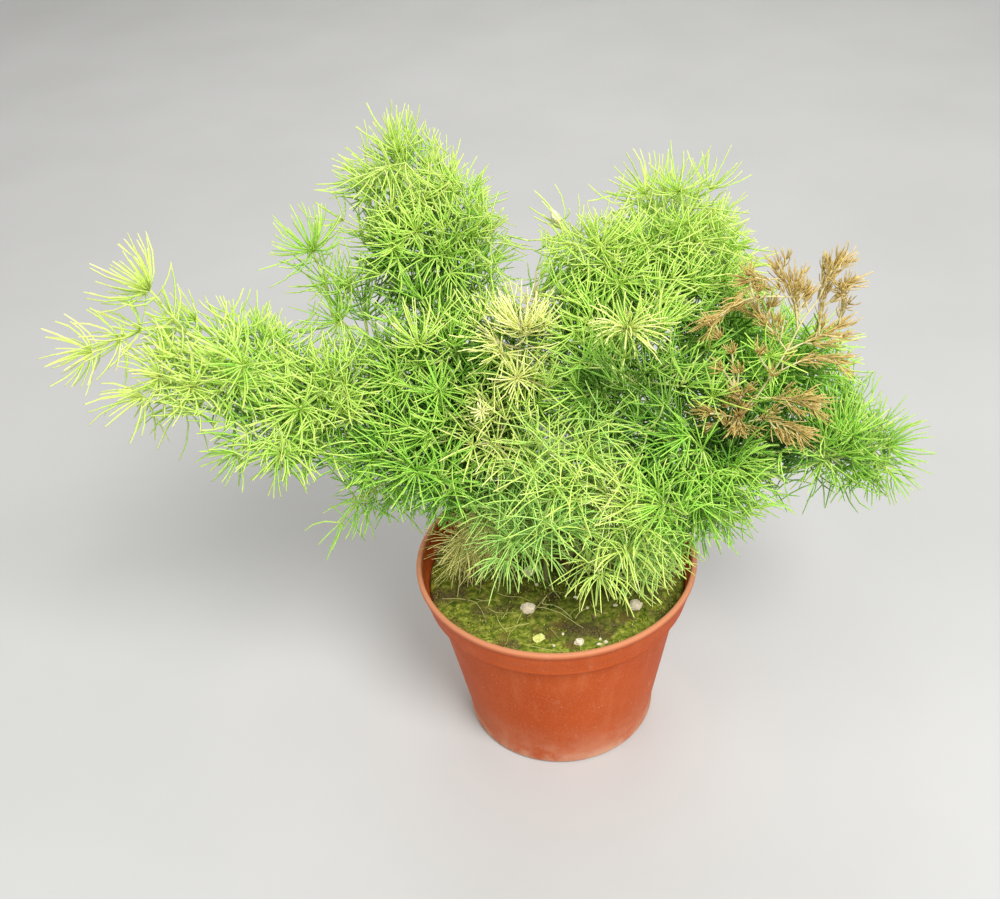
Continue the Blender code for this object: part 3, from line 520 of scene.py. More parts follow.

# Places where the needles are yellower or greener, and brighter or darker as painted light and shade:
# centre, radius (millimetres), change of hue, change of brightness (painted light and shade)
HUE_AND_PAINTED_LIGHT_ZONES = (
    ((-140, -12, 186), 44, 0.12, 0.0),
    ((-45, 38, 222), 34, 0.08, 0.0),
    ((24, -18, 181), 13, 0.27, 0.24),
    ((10, -37, 147), 22, 0.14, 0.08),
    ((17, -41, 132), 15, 0.20, 0.12),
    ((17, -41, 132), 26, 0.02, 0.22),
    ((21, -45, 114), 22, 0.06, -0.02),
    ((-16, -39, 116), 18, -0.02, -0.06),
    ((14, 12, 196), 18, 0.12, 0.0),
    ((52, 30, 200), 26, 0.06, 0.0),
    ((-9, -7, 178), 17, 0.36, 0.14),
    ((-11, -20, 167), 10, 0.26, 0.10),
    ((-23, -28, 161), 6, 0.40, 0.10),
    ((-22, -20, 154), 12, 0.22, 0.04),
    ((-19, -26, 146), 14, 0.24, 0.04),
    ((25, -21, 147), 28, -0.16, -0.34),
    ((19, -32, 171), 14, -0.20, -0.60),
    ((34, -30, 166), 13, -0.14, -0.50),
    ((36, -12, 153), 15, -0.10, -0.45),
    ((-30, 10, 181), 11, -0.10, -0.45),
    ((-42, -6, 174), 12, 0.18, 0.32),
    ((-27, 22, 187), 11, -0.10, -0.38),
    ((-25, -8, 166), 9, -0.20, -0.55),
    ((-53, -4, 147), 10, -0.06, -0.35),
    ((62, -22, 160), 22, 0.05, 0.30),
    ((82, -14, 158), 34, 0.08, 0.75),
    ((52, -22, 166), 26, 0.06, 0.30),
    ((-100, -35, 156), 18, -0.10, -0.16),
)

# Colour scales along the points' hue (linear)
LEAF_COLOURS = ((0.0, (0.06, 0.26, 0.03)), (0.26, (0.21, 0.55, 0.06)), (0.48, (0.44, 0.81, 0.11)),
                (0.68, (0.69, 0.92, 0.20)), (0.86, (0.86, 0.93, 0.31)), (1.0, (0.94, 0.93, 0.44)))
FRONT_COLOURS = ((0.0, (0.06, 0.26, 0.03)), (0.26, (0.25, 0.57, 0.07)), (0.48, (0.47, 0.80, 0.19)),
                 (0.68, (0.71, 0.93, 0.19)), (0.86, (0.86, 0.96, 0.36)), (1.0, (0.95, 0.97, 0.55)))
DRY_COLOURS = ((0.15, (0.17, 0.10, 0.02)), (0.40, (0.44, 0.29, 0.07)), (0.62, (0.70, 0.53, 0.18)),
               (0.85, (0.92, 0.82, 0.40)))
OLD_COLOURS = ((0.15, (0.30, 0.30, 0.06)), (0.45, (0.56, 0.56, 0.15)), (0.65, (0.74, 0.69, 0.26)),
               (0.85, (0.90, 0.82, 0.42)))
MOSS_COLOURS = ((0.1, (0.04, 0.08, 0.006)), (0.4, (0.15, 0.22, 0.016)), (0.65, (0.37, 0.40, 0.045)),
                (0.9, (0.58, 0.55, 0.14)))
LITTER_COLOURS = ((0.1, (0.28, 0.24, 0.06)), (0.45, (0.45, 0.46, 0.12)), (0.75, (0.60, 0.60, 0.20)),
                  (1.0, (0.76, 0.70, 0.36)))
BARK_COLOURS = ((0.0, (0.22, 0.18, 0.08)), (0.35, (0.32, 0.36, 0.12)), (0.65, (0.44, 0.62, 0.15)),
                (0.95, (0.68, 0.84, 0.24)))
DRY_BARK_COLOURS = ((0.0, (0.32, 0.25, 0.10)), (0.4, (0.56, 0.49, 0.22)), (0.8, (0.76, 0.70, 0.36)))

# Colour scales along a noise (linear)
POT_COLOURS = ((0.3, (0.44, 0.066, 0.010)), (0.5, (0.49, 0.080, 0.013)), (0.72, (0.54, 0.098, 0.020)))
SOIL_COLOURS = ((0.30, (0.03, 0.026, 0.010)), (0.50, (0.12, 0.095, 0.032)), (0.68, (0.25, 0.20, 0.08)))
CUSHION_COLOURS = ((0.30, (0.05, 0.085, 0.008)), (0.44, (0.15, 0.20, 0.020)),
                   (0.56, (0.32, 0.36, 0.045)), (0.68, (0.54, 0.52, 0.11)))
CHIP_COLOURS = ((0.3, (0.42, 0.40, 0.08)), (0.5, (0.74, 0.76, 0.22)), (0.75, (0.90, 0.86, 0.42)))
BUD_COLOURS = ((0.30, (0.46, 0.36, 0.18)), (0.46, (0.76, 0.70, 0.46)), (0.62, (0.92, 0.88, 0.66)))
FLOOR_COLOURS = ((0.3, (0.52, 0.52, 0.51)), (0.7, (0.55, 0.55, 0.54)))

# What lies over the pot's plastic, the soil and the bark, and the painted highlight on the pot's lip (linear)
STREAK_COLOUR = (0.70, 0.26, 0.12)
DUST_COLOUR = (0.62, 0.33, 0.21)
FOOT_COLOUR = (0.74, 0.50, 0.34)
SCUFF_COLOUR = (0.66, 0.34, 0.22)
SPECK_COLOUR = (0.74, 0.58, 0.42)
LIP_HIGHLIGHT_COLOUR = (0.66, 0.30, 0.16)
GRAIN_COLOUR = (0.66, 0.27, 0.17)
BARE_COLOUR = (0.19, 0.12, 0.035)
RIDGE_COLOUR = (0.24, 0.20, 0.08)

# How high dust and the paler foot reach on the pot, and where the painted highlight on the lip begins (metres)
DUST_HEIGHT = 0.026
FOOT_HEIGHT = 0.006
LIP_HIGHLIGHT_FROM = 0.0725
LIP_HIGHLIGHT_OVER = 0.0025

# Studio: a floor (its width in millimetres), soft world light, and area lights that look at one place,
# each with its place (metres), size and power
FLOOR_SIZE = 6000.0
WORLD_LIGHT = 0.52
WORLD_COLOUR = (1.0, 0.99, 0.97)
LIGHT_AIM = (0, 0, 0.11)
LIGHTS = (
    ("key", (0.34, -0.70, 1.00), 0.55, 15.0),
    ("fill", (-0.75, -0.45, 0.75), 0.8, 1.8),
    ("back", (0.1, 0.9, 0.9), 0.8, 4.0),
)

# Camera (millimetres and degrees; the nearest and farthest that it sees in metres)
CAMERA_LENS = 43.2
CAMERA_SENSOR = 36.0
CAMERA_RANGE = (0.01, 20.0)
CAMERA_PITCH = 35.85
CAMERA_ROLL = -4.1
CAMERA_PLACE = (-18.0, -341.3, 372.0)


# Layout of the stems and twigs

def smooth_line(points, spacing, before=None):
    """Evenly spaced points on a smooth curve through the points; before is a place that it comes from."""
    if before is None:
        before = 2 * points[0] - points[1]
    ends = [before] + points + [2 * points[-1] - points[-2]]
    line = [points[0]]
    for a, b, c, d in zip(ends, ends[1:], ends[2:], ends[3:]):
        count = max(1, round((c - b).length / spacing))
        for i in range(1, count + 1):
            t = i / count
            line.append(0.5 * (2 * b + (c - a) * t + (2 * a - 5 * b + 4 * c - d) * t * t
                               + (3 * b - a - 3 * c + d) * t ** 3))
    return line


def distance(p, q, starts, stops):
    """Shortest distances from the length p-q to each of the lengths starts-stops."""
    p, q = np.array(p), np.array(q)
    d1, d2, r = q - p, stops - starts, p - starts
    a, e = max(d1 @ d1, TINY), np.maximum((d2 * d2).sum(1), TINY)
    b, c, f = d2 @ d1, r @ d1, (d2 * r).sum(1)
    s = np.clip((b * f - c * e) / np.maximum(a * e - b * b, TINY), 0, 1)
    t = np.clip((b * s + f) / e, 0, 1)
    s = np.clip((b * t - c) / a, 0, 1)
    return np.linalg.norm((p + s[:, None] * d1) - (starts + t[:, None] * d2), axis=1)


class Lengths:
    """Straight lengths already placed: the stem that owns each, its ends and its radius."""

    def __init__(self):
        self.rows = []

    def add(self, owner, line, radii):
        for i in range(len(line) - 1):
            self.rows.append((owner, *line[i], *line[i + 1], max(radii[i], radii[i + 1])))

    def clear(self, owner, line, radii):
        """Whether a line keeps clear of all that other stems own."""
        table = np.array(self.rows, float).reshape(-1, 8)
        others = table[table[:, 0] != owner]
        for i in range(len(line) - 1):
            apart = distance(line[i], line[i + 1], others[:, 1:4], others[:, 4:7])
            if not (apart > others[:, 7] + max(radii[i], radii[i + 1]) + CLEARANCE).all():
                return False
        return True


def taper(count, pair):
    return [pair[0] + (pair[1] - pair[0]) * i / (count - 1) for i in range(count)]


def jitter(rng, size):
    return Vector([rng.uniform(-size, size) for _ in range(3)])


def lay_stems(lengths):
    """The main line of every stem, bent clear of the others."""
    lines = {}
    for owner, (name, stem) in enumerate(STEMS.items()):
        rng = random.Random(SEED + owner)
        x, y = stem["foot"]
        for attempt in range(STEM_TRIES):
            shift = attempt * STEM_SHIFT
            points = [Vector((x, y, STEM_START))] + [Vector(p) + jitter(rng, shift) for p in stem["route"]]
            line = smooth_line(points, STEM_SPACING, points[0] - Vector((0, 0, STEM_RUN_IN)))
            line.insert(0, Vector((x, y, SOIL_TOP - HOLE_DEPTH + FOOT_RAISED + GAP)))
            radii = taper(len(line), STEM_RADIUS)
            if lengths.clear(owner, line, radii):
                break
        lines[name] = [(line, radii)]
        lengths.add(owner, line, radii)
    return lines


def best_start(paths, tip):
    """The place on the stem or its twigs where a twig to this tip would best leave."""
    best, choice = FAR, None
    for line, _ in paths:
        for i in range(1, len(line) - 1):
            way = (line[i + 1] - line[i]).normalized()
            for share in (0, 1 / 3, 2 / 3):
                start = line[i].lerp(line[i + 1], share)
                reach = tip - start
                if start.z < TWIG_LOWEST or reach.length < TWIG_SHORTEST:
                    continue
                cost = reach.length * (TWIG_TURN_COST - reach.normalized().dot(way))
                if cost < best:
                    best, choice = cost, (start, way)
    return choice


def lay_twigs(lengths, lines):
    """Twigs from each stem to the tips that it lists, bent clear of the other stems."""
    for owner, (name, stem) in enumerate(STEMS.items()):
        rng = random.Random(SEED + 100 + owner)
        main = np.array(lines[name][0][0])
        tips = sorted((Vector(t) for t in stem["tips"]),
                      key=lambda t: float(distance(t, t, main[:-1], main[1:]).min()))
        for tip in tips:
            start, way = best_start(lines[name], tip)
            for attempt in range(TWIG_TRIES):
                end = tip + jitter(rng, attempt * TWIG_SHIFT)
                reach = end - start
                line = [start, end]
                if reach.length > TWIG_BENT:
                    side = way - reach.normalized() * way.dot(reach.normalized())
                    middle = start + reach * 0.5 + side * reach.length * TWIG_BOW
                    line.insert(1, middle + jitter(rng, TWIG_SWAY + attempt * TWIG_SHIFT))
                radii = taper(len(line), TWIG_RADIUS)
                if lengths.clear(owner, line, radii):
                    lengths.add(owner, line, radii)
                    lines[name].append((line, radii))
                    break


# Fine lines

def line_length(line):
    return sum((b - a).length for a, b in zip(line, line[1:]))


def walk_back(line, back):
    """The place that lies this far back from the end of a line, and the line's direction there."""
    for i in range(len(line) - 1, 0, -1):
        step = line[i] - line[i - 1]
        if back <= step.length or i == 1:
            return line[i] - step * min(back / step.length, 1.0), step.normalized()
        back -= step.length


def nearest_place(lines, point):
    """The point of the lines that lies nearest to a point."""
    best, place = FAR, point
    for line in lines:
        for a, b in zip(line, line[1:]):
            d = b - a
            t = max(0.0, min(1.0, (point - a).dot(d) / max(d.length_squared, TINY)))
            spot = a + d * t
            if (spot - point).length < best:
                best, place = (spot - point).length, spot
    return place


def pot_clear(point):
    """Whether a point keeps clear of the pot's wall, of the soil and of the floor."""
    radius = math.hypot(point.x, point.y)
    if point.z > POT_HEIGHT + RIM_CLEAR:
        return True
    if radius > RIM_RADIUS + RIM_CLEAR:
        return point.z > FLOOR_CLEAR
    return radius < SOIL_REACH and point.z > SOIL_TOP + SOIL_DOME + 1


# Needles

class Needles:
    """Curved needles of one stem, turned into one mesh's points and faces at the end."""
    RINGS = (0.0, 0.34, 0.68, 0.955)
    WIDTHS = (0.80, 1.0, 0.98, 0.72)

    def __init__(self):
        self.rows = []

    def add(self, root, bend, tip, radius, hue, shade):
        self.rows.append((*root, *bend, *tip, radius, hue, shade))

    def middles(self):
        return [(Vector(row[0:3]) + Vector(row[6:9])) / 2 for row in self.rows]

    def mesh_parts(self, rng):
        """Points, faces, hue and shade of all the needles, three-sided and closed at both ends."""
        table = np.array(self.rows, float)
        count = len(table)
        root, bend, tip = table[:, 0:3], table[:, 3:6], table[:, 6:9]
        radius, hue, shade = table[:, 9], table[:, 10], table[:, 11]
        spin = np.array([rng.uniform(0, 2 * math.pi) for _ in range(count)])
        side = np.cross(tip - root, np.array(ACROSS))
        side /= np.maximum(np.linalg.norm(side, axis=1), TINY)[:, None]
        points, hues, shades = [], [], []
        for t, width in zip(self.RINGS, self.WIDTHS):
            centre = (1 - t) ** 2 * root + 2 * t * (1 - t) * bend + t * t * tip
            way = 2 * (1 - t) * (bend - root) + 2 * t * (tip - bend)
            way /= np.linalg.norm(way, axis=1)[:, None]
            u = side - way * (side * way).sum(1)[:, None]
            u /= np.linalg.norm(u, axis=1)[:, None]
            v = np.cross(way, u)
            for k in range(3):
                turn = spin + 2 * math.pi * k / 3
                points.append(centre + (radius * width)[:, None]
                              * (np.cos(turn)[:, None] * u + np.sin(turn)[:, None] * v))
                hues.append(hue + TIP_HUE * (1.5 * abs(t - 0.42) - 0.22) + NODE_HUE * (1 - t) ** 4)
                # Painted light: needles are brightened towards the node, where they shade each other
                shades.append(np.minimum(shade * (1 + NODE_PAINTED_LIGHT * (1 - t) ** 4), FULL_SHADE))
        points.append(tip)
        hues.append(hue + TIP_HUE)
        shades.append(np.minimum(shade * TIP_SHADE, FULL_SHADE))
        one = [(a + k, a + (k + 1) % 3, a + (k + 1) % 3 + 3, a + k + 3)
               for a in (0, 3, 6) for k in range(3)]
        one += [(9, 10, 12), (10, 11, 12), (11, 9, 12), (2, 1, 0)]
        faces = [tuple(n * 13 + i for i in face) for n in range(count) for face in one]
        rows = np.stack(points, 1).reshape(-1, 3)
        return rows, faces, np.stack(hues, 1).ravel(), np.stack(shades, 1).ravel()


def tube_parts(line, radii, sides):
    """Points and faces of a closed round tube along a line."""
    points, faces = [], []
    way = (line[1] - line[0]).normalized()
    u = way.orthogonal().normalized()
    for i, place in enumerate(line):
        way = (line[min(i + 1, len(line) - 1)] - line[max(i - 1, 0)]).normalized()
        u = (u - way * u.dot(way)).normalized()
        v = way.cross(u)
        for k in range(sides):
            turn = 2 * math.pi * k / sides
            points.append(place + (u * math.cos(turn) + v * math.sin(turn)) * radii[i])
    last = (len(line) - 1) * sides
    for a in range(0, last, sides):
        faces += [(a + k, a + (k + 1) % sides, a + sides + (k + 1) % sides, a + sides + k)
                  for k in range(sides)]
    points.append(line[0] - (line[1] - line[0]).normalized() * radii[0] * 0.4)
    points.append(line[-1] + way * radii[-1])
    for k in range(sides):
        faces.append(((k + 1) % sides, k, len(points) - 2))
        faces.append((last + k, last + (k + 1) % sides, len(points) - 1))
    return points, faces


def needle_roots_and_tips(node):
    """Root and tip of every needle of a packed stem: a tip is a point that only long edges meet."""
    bm = bmesh.new()
    bm.from_mesh(frame["nodes"][node].data)
    bmesh.ops.remove_doubles(bm, verts=bm.verts, dist=SAME_POINT)
    found = []
    for vertex in bm.verts:
        edges = vertex.link_edges
        if len(edges) >= 3 and min(edge.calc_length() for edge in edges) > NEEDLE_EDGE * MM:
            others = [edge.other_vert(vertex).co for edge in edges]
            found.append((sum(others, Vector()) / len(others) / MM, vertex.co / MM))
    bm.free()
    return sorted(found, key=lambda pair: tuple(round(c, 2) for c in pair[1]))


def colour_at(name, place):
    """Hue, 0 bluish green to 1 pale straw, and brightness, painted light and shade, of the needles at a place.
    """
    look = LOOKS[name]
    hue, shade = look["hue"] + HUE_DRIFT * noise.noise(place * HUE_PATCH), look["shade"]
    if look["kind"] == "dried":
        return hue, shade
    for centre, radius, change, light in HUE_AND_PAINTED_LIGHT_ZONES:
        away = (place - Vector(centre)).length / radius
        if away < 1:
            hue += change * (1 - away * away)
            # The zone's painted light and shade
            shade *= 1 + light * (1 - away * away)
    return hue, shade


def inside_any(places, point):
    return any((point - Vector(centre)).length < radius for centre, radius in places)


class Spray:
    """The fine stem, twigs and needles of one packed stem."""

    def __init__(self, name, owner, tree, dry):
        self.name = name
        self.look = LOOKS[name]
        self.dried = self.look["kind"] == "dried"
        self.rng = random.Random(SEED + 300 + owner)
        self.needles = Needles()
        self.tubes = []
        self.curves = []
        self.tree = tree
        self.dry = dry
        self.keep_near()

    def keep_near(self, near=None, edge=None):
        """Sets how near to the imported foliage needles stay, and how far out of it they may reach."""
        self.near = near or self.look["near"]
        self.edge = edge or self.look["edge"]

    def allowed(self, root, tip):
        """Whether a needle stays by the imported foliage, in its box, and clear of pot, soil and gaps."""
        if not all(pot_clear(root.lerp(tip, share)) for share in (0.35, 0.7, 1.0)):
            return False
        for at, low, high, margin in zip(tip, CAD_LOW, CAD_HIGH, BOX_MARGIN):
            if not low / MM - margin < at < high / MM + margin:
                return False
        if self.name != "dried_stem" and self.dry.find(tip)[2] < DRY_CLEAR:
            return False
        if inside_any(NO_TIPS, tip) or inside_any(OPEN_PLACES, root.lerp(tip, 0.6)):
            return False
        return self.tree.find(tip)[2] < self.near and outward(self.tree, tip).length < self.edge

    def needle(self, root, tip, along):
        """Adds a needle that leaves its twig widely, then curves towards the way it grows, or droops."""
        rng = self.rng
        chord = tip - root
        length = chord.length
        lean = along - chord * (along.dot(chord) / length ** 2)
        if lean.length > 0.1:
            lean = lean.normalized()
        sway = Vector([rng.gauss(0, 1) for _ in range(3)]) * length * NEEDLE_SWAY
        arch = UPWARD * length * self.look["arch"] * rng.uniform(0.5, 1.5)
        bend = root.lerp(tip, 0.5) - lean * length * rng.uniform(*NEEDLE_BEND) + arch + sway
        hue, shade = colour_at(self.name, root)
        self.needles.add(root, bend, tip, NEEDLE_WIDTH * self.look["width"] * rng.uniform(0.88, 1.1),
                         hue + rng.gauss(0, 0.04), shade * rng.uniform(0.9, 1.1))

    def whorl(self, root, along, count, turn, leans, lengths):
        """Needles that leave one node all round its twig, in loose bunches."""
        rng = self.rng
        side = along.orthogonal().normalized()
        for k in range(count):
            lean = math.radians(rng.uniform(*leans))
            spin = math.radians(turn + 360 * k / count + rng.uniform(-24, 24))
            out = Matrix.Rotation(spin, 3, along) @ side
            tip = root + (along * math.cos(lean) + out * math.sin(lean)) * rng.uniform(*lengths)
            if self.allowed(root, tip):
                self.needle(root, tip, along)

    def tuft(self, root, along, count, lengths, spread=None):
        """The needles that end a twig, from nearly straight on to well spread."""
        rng = self.rng
        spread = spread or self.look["spread"]
        side = along.orthogonal().normalized()
        first = rng.uniform(0, 360)
        for k in range(count):
            turn = first + GOLDEN_TURN * k + rng.uniform(-14, 14)
            lean = math.radians(8 + spread * math.sqrt((k + 0.5) / count) + rng.uniform(-6, 6))
            out = Matrix.Rotation(math.radians(turn), 3, along) @ side
            aim = along * math.cos(lean) + out * math.sin(lean) + UPWARD * (TUFT_RISE - self.look["arch"])
            tip = root + aim.normalized() * rng.uniform(*lengths) * (1 - 0.3 * rng.random() ** 2)
            if self.allowed(root, tip):
                self.needle(root, tip, along)

    def twig(self, points, radii=FINE_TWIG, sides=6, greens=(0.5, 0.95)):
        """A fine twig through the points; greens are the hues of its bark at its foot and its tip."""
        curve = smooth_line(points, TWIG_STEP)
        self.tubes.append((curve, taper(len(curve), radii), sides, greens))
        return curve

    def twiglet(self, root, end, along, facing=None):
        """A short side twig with its own end tuft, turned to a given side, and, if long enough, whorls."""
        length = (end - root).length
        middle = root.lerp(end, 0.5) - along * length * 0.08
        curve = self.twig([root, middle, end], FINE_TWIGLET, 5, (0.6, 0.95))
        low, high = self.look["length"]
        facing = facing or (curve[-1] - curve[-2]).normalized()
        self.tuft(curve[-1], facing, self.look["side_tuft"], (low * 0.88, high * 0.98))
        back, bare, more = (DRY_SIDE_NODES, 1, 0) if self.dried else (7.5, 3, 2)
        while back < length - bare:
            place, way = walk_back(curve, back)
            self.whorl(place, way, self.look["whorl"] + more, self.rng.uniform(0, 360),
                       DRY_LEANS if self.dried else SIDE_LEANS, (low * 0.85, high * 0.95))
            back += DRY_SIDE_NODES if self.dried else self.rng.uniform(7.5, 10)

    def leaf_out(self, curve, main):
        """Tuft, whorls and side twigs of one line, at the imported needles' whorls and midway between them."""
        rng, look = self.rng, self.look
        place, way = walk_back(curve, 0.0)
        self.tuft(place, way, look["tuft"], look["length"])
        if self.dried:
            nodes = [DRY_NODES * k for k in range(1, 24 if main else 14)]
        else:
            gap = (STEM_NODES if main else TWIG_NODES) / 2
            nodes = [LAST_STEM_NODE if main else LAST_TWIG_NODE]
            nodes += [NEXT_NODE + gap * k for k in range(30)]
        leafy_length = line_length(curve) - (BARE_STEM if main and not self.dried else BARE_TWIG)
        for k, back in enumerate(node for node in nodes if node < leafy_length):
            place, way = walk_back(curve, back)
            if place.z < look["lowest"] or inside_any(THIN_PLACES, place):
                continue
            if self.dried:
                leafy = back < DRY_LEAFY
            else:
                leafy = k % 2 == 1 or rng.random() < look["midway"]
            if leafy:
                self.whorl(place, way, look["whorl"], rng.uniform(0, 360),
                           DRY_LEANS if self.dried else LEANS, look["length"])
            if (k or self.dried) and rng.random() < look["branch"]:
                side = Matrix.Rotation(rng.uniform(0, 2 * math.pi), 3, way) @ way.orthogonal().normalized()
                aim = (way * 0.72 + side * 0.70).normalized()
                end = place + aim * rng.uniform(*look["branch_length"])
                if self.tree.find(end)[2] < NEAR * 0.75 and pot_clear(end):
                    self.twiglet(place, end, way)

    def grow_lines(self, lines):
        """The stem, slightly swollen every few points, as at its nodes, and its twigs, with their leaves."""
        for i, (line, _) in enumerate(lines):
            start = nearest_place(self.curves, line[0]) if self.curves else line[0]
            main = i == 0
            curve = smooth_line([start] + line[1:], STEM_STEP if main else TWIG_STEP)
            self.curves.append(curve)
            widths = [width * self.look["stalk"] for width in (FINE_STEM if main else FINE_TWIG)]
            radii = [r * (SWELLING if k % 4 == 2 else 1.0) for k, r in enumerate(taper(len(curve), widths))]
            self.tubes.append((curve, radii, 8 if main else 6, (0.0, 0.8) if main else (0.5, 0.95)))
            self.leaf_out(curve, main)

    def close_crown(self):
        """Twigs that close the crown over the inner stems."""
        self.keep_near(CLOSING_NEAR, CLOSING_NEAR)
        for end in map(Vector, CLOSING.get(self.name, [])):
            start = nearest_place(self.curves, end - UPWARD * 14)
            if CLOSING_TWIGS[0] < (end - start).length < CLOSING_TWIGS[1]:
                curve = self.twig([start, start.lerp(end, 0.5) + UPWARD * 2, end])
                self.curves.append(curve)
                self.leaf_out(curve, False)
        self.keep_near()

    def grow_tufts(self):
        """The tufts that stand out, each on a short twig from the nearest line."""
        self.keep_near(TUFT_NEAR, TUFT_EDGE)
        star = DRY_STAR if self.dried else STAR
        stars = [(end, facing, *star) for end, facing in STARS.get(self.name, [])]
        for end, facing, count, spread, lengths in [*TUFTS.get(self.name, []), *stars]:
            end, facing = Vector(end), Vector(facing).normalized()
            start = nearest_place(self.curves, end - facing * 6)
            if (end - start).length > TUFT_TWIG:
                self.twig([start, start.lerp(end, 0.55) - facing * 1.2, end])
            self.tuft(end, facing, count, lengths, spread)
        self.keep_near()

    def cover_packed(self, packed):
        """One fine needle on each packed needle, drawn back where the crown is trimmed."""
        for root, tip in packed:
            place = nearest_place(self.curves, root)
            if inside_any(TRIM_PLACES, tip):
                tip = place.lerp(tip, TRIM_SHARE)
            nearest = min(self.curves, key=lambda curve: min((p - place).length for p in curve))
            spot = min(range(len(nearest) - 1), key=lambda k: (nearest[k] - place).length)
            self.needle(place, tip, (nearest[spot + 1] - nearest[spot]).normalized())

    def build(self, looks):
        """One object: bark faces use the second material, needle faces the first."""
        points, faces, hues, shades = self.needles.mesh_parts(self.rng)
        points, hues, shades = list(points), list(hues), list(shades)
        kinds = [0] * len(faces)
        for curve, radii, sides, (green, tip_green) in self.tubes:
            tube, tube_faces = tube_parts(curve, radii, sides)
            add_part(points, faces, tube, tube_faces)
            kinds += [1] * len(tube_faces)
            for k, place in enumerate(tube):
                rise = max(0.0, min(1.0, (place.z - BARK_LOW) / BARK_RISE))
                share = min(1.0, k / (len(curve) * sides))
                hues.append(min(1.0, green + (tip_green - green) * share + 0.35 * rise
                                + 0.5 * (self.look["hue"] - 0.5)))
                shades.append(1.0)
        obj = mesh_piece(self.name.replace("_stem", "_spray"), points, faces, *looks)
        colour_points(obj, hues, shades)
        obj.data.polygons.foreach_set("material_index", kinds)
        return obj


def add_part(points, faces, more, more_faces):
    """Joins the points and faces of one more part to those of a mesh."""
    first = len(points)
    points += more
    faces += [tuple(first + k for k in face) for face in more_faces]


def mesh_piece(name, points, faces, *looks, smooth=True):
    """An object from points in millimetres and faces."""
    mesh = bpy.data.meshes.new(name)
    mesh.from_pydata([tuple(c * MM for c in p) for p in points], [], faces)
    mesh.validate()
    return linked(name, mesh, looks, smooth)


def linked(name, mesh, looks, smooth=True):
    """A mesh as an object of the scene, with its materials."""
    mesh.update()
    mesh.polygons.foreach_set("use_smooth", [smooth] * len(mesh.polygons))
    for look in looks:
        mesh.materials.append(look)
    obj = bpy.data.objects.new(name, mesh)
    bpy.context.scene.collection.objects.link(obj)
    return obj


def colour_points(obj, hues, shades):
    """Stores each point's place on the foliage colour scale and its brightness."""
    for name, values in (("hue", hues), ("shade", shades)):
        layer = obj.data.attributes.new(name, "FLOAT", "POINT")
        layer.data.foreach_set("value", np.asarray(values, np.float32))


def point_tree(places):
    tree = kdtree.KDTree(len(places))
    for i, place in enumerate(places):
        tree.insert(place, i)
    tree.balance()
    return tree


def outward(tree, place):
    """Which way, and how far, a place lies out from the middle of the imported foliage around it."""
    around = tree.find_range(place, AROUND)
    return place - sum((spot for spot, _, _ in around), Vector()) / max(len(around), 1)


def fill_gaps(sprays, tree, dry, samples):
    """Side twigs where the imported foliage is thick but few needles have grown."""
    rng = random.Random(SEED + 4)
    spots = [(p, spray, (b - a).normalized()) for spray in sprays if spray.look["fill"]
             for curve in spray.curves for a, p, b in zip(curve, curve[1:], curve[2:]) if p.z > 80]
    twigs = point_tree([place for place, _, _ in spots])
    for _ in range(FILL_ROUNDS):
        grown = point_tree([place for spray in sprays for place in spray.needles.middles()])
        added = []
        for _ in range(FILL_TRIES):
            end = rng.choice(samples) + jitter(rng, rng.choice(FILL_STRAY))
            if not pot_clear(end) or end.z < FILL_LOWEST or inside_any(THIN_PLACES, end):
                continue
            if dry.find(end)[2] < DRY_CLEAR_TWIG or len(tree.find_range(end, THICK_AROUND)) < THICK:
                continue
            if len(grown.find_range(end, SPARSE_AROUND)) > SPARSE:
                continue
            if any((end - other).length < FILL_SPACE for other in added):
                continue
            place, i, away = twigs.find(end)
            _, spray, way = spots[i]
            out = outward(tree, end)
            if FILL_TWIGS[0] < away < FILL_TWIGS[1] and out.length < FILL_DEPTH:
                facing = out * 0.18 + way * 0.45 + (end - place).normalized() * 0.3 + UPWARD * 0.25
                spray.twiglet(place, end, way, facing.normalized())
                added.append(end)


def shade_inner(sprays):
    """Painted shade: needles that others cover from above and in front get deeper green, darker and wider."""
    middles = [spray.needles.middles() for spray in sprays]
    tree = point_tree([place for places in middles for place in places])
    toward = COVER_WAY * COVER_REACH
    for spray, places in zip(sprays, middles):
        rows, kind = spray.needles.rows, spray.look["kind"]
        if kind in ("dried", "old"):
            continue
        for n, place in enumerate(places):
            cover = min(1.0, len(tree.find_range(place + toward, COVER_REACH * 0.75)) / COVER_FULL)
            cover *= FRONT_COVER if kind == "front" else 1
            *ends, width, hue, shade = rows[n]
            rows[n] = (*ends, width * (1 + COVER_WIDTH * max(0.0, cover * 2 - 1)),
                       hue - COVER_HUE * cover, shade * (1 - COVER_SHADE * cover))


def build_foliage(materials):
    lengths = Lengths()
    lines = lay_stems(lengths)
    lay_twigs(lengths, lines)
    packed = {name: needle_roots_and_tips(name) for name in STEMS}
    shares = {name: [root.lerp(tip, share) for root, tip in packed[name] for share in (0.3, 0.65, 1.0)]
              for name in STEMS}
    tree = point_tree([place for places in shares.values() for place in places])
    dry = point_tree(shares["dried_stem"])
    sprays = [Spray(name, owner, tree, dry) for owner, name in enumerate(STEMS)]
    for spray in sprays:
        spray.grow_lines(lines[spray.name])
        spray.close_crown()
        spray.grow_tufts()
        spray.cover_packed(packed[spray.name])
    fill_gaps(sprays, tree, dry, [root.lerp(tip, 0.35) for name in STEMS if LOOKS[name]["fill"]
                                  for root, tip in packed[name]])
    shade_inner(sprays)
    for spray in sprays:
        name = spray.name
        obj = spray.build(materials[LOOKS[name]["kind"]])
        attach(obj, "root")
        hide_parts(name)


# Pot

def ring(radius, z, steps):
    """Points of a level circle, in millimetres."""
    turns = [2 * math.pi * k / steps for k in range(steps)]
    return [(radius * math.cos(turn), radius * math.sin(turn), z) for turn in turns]


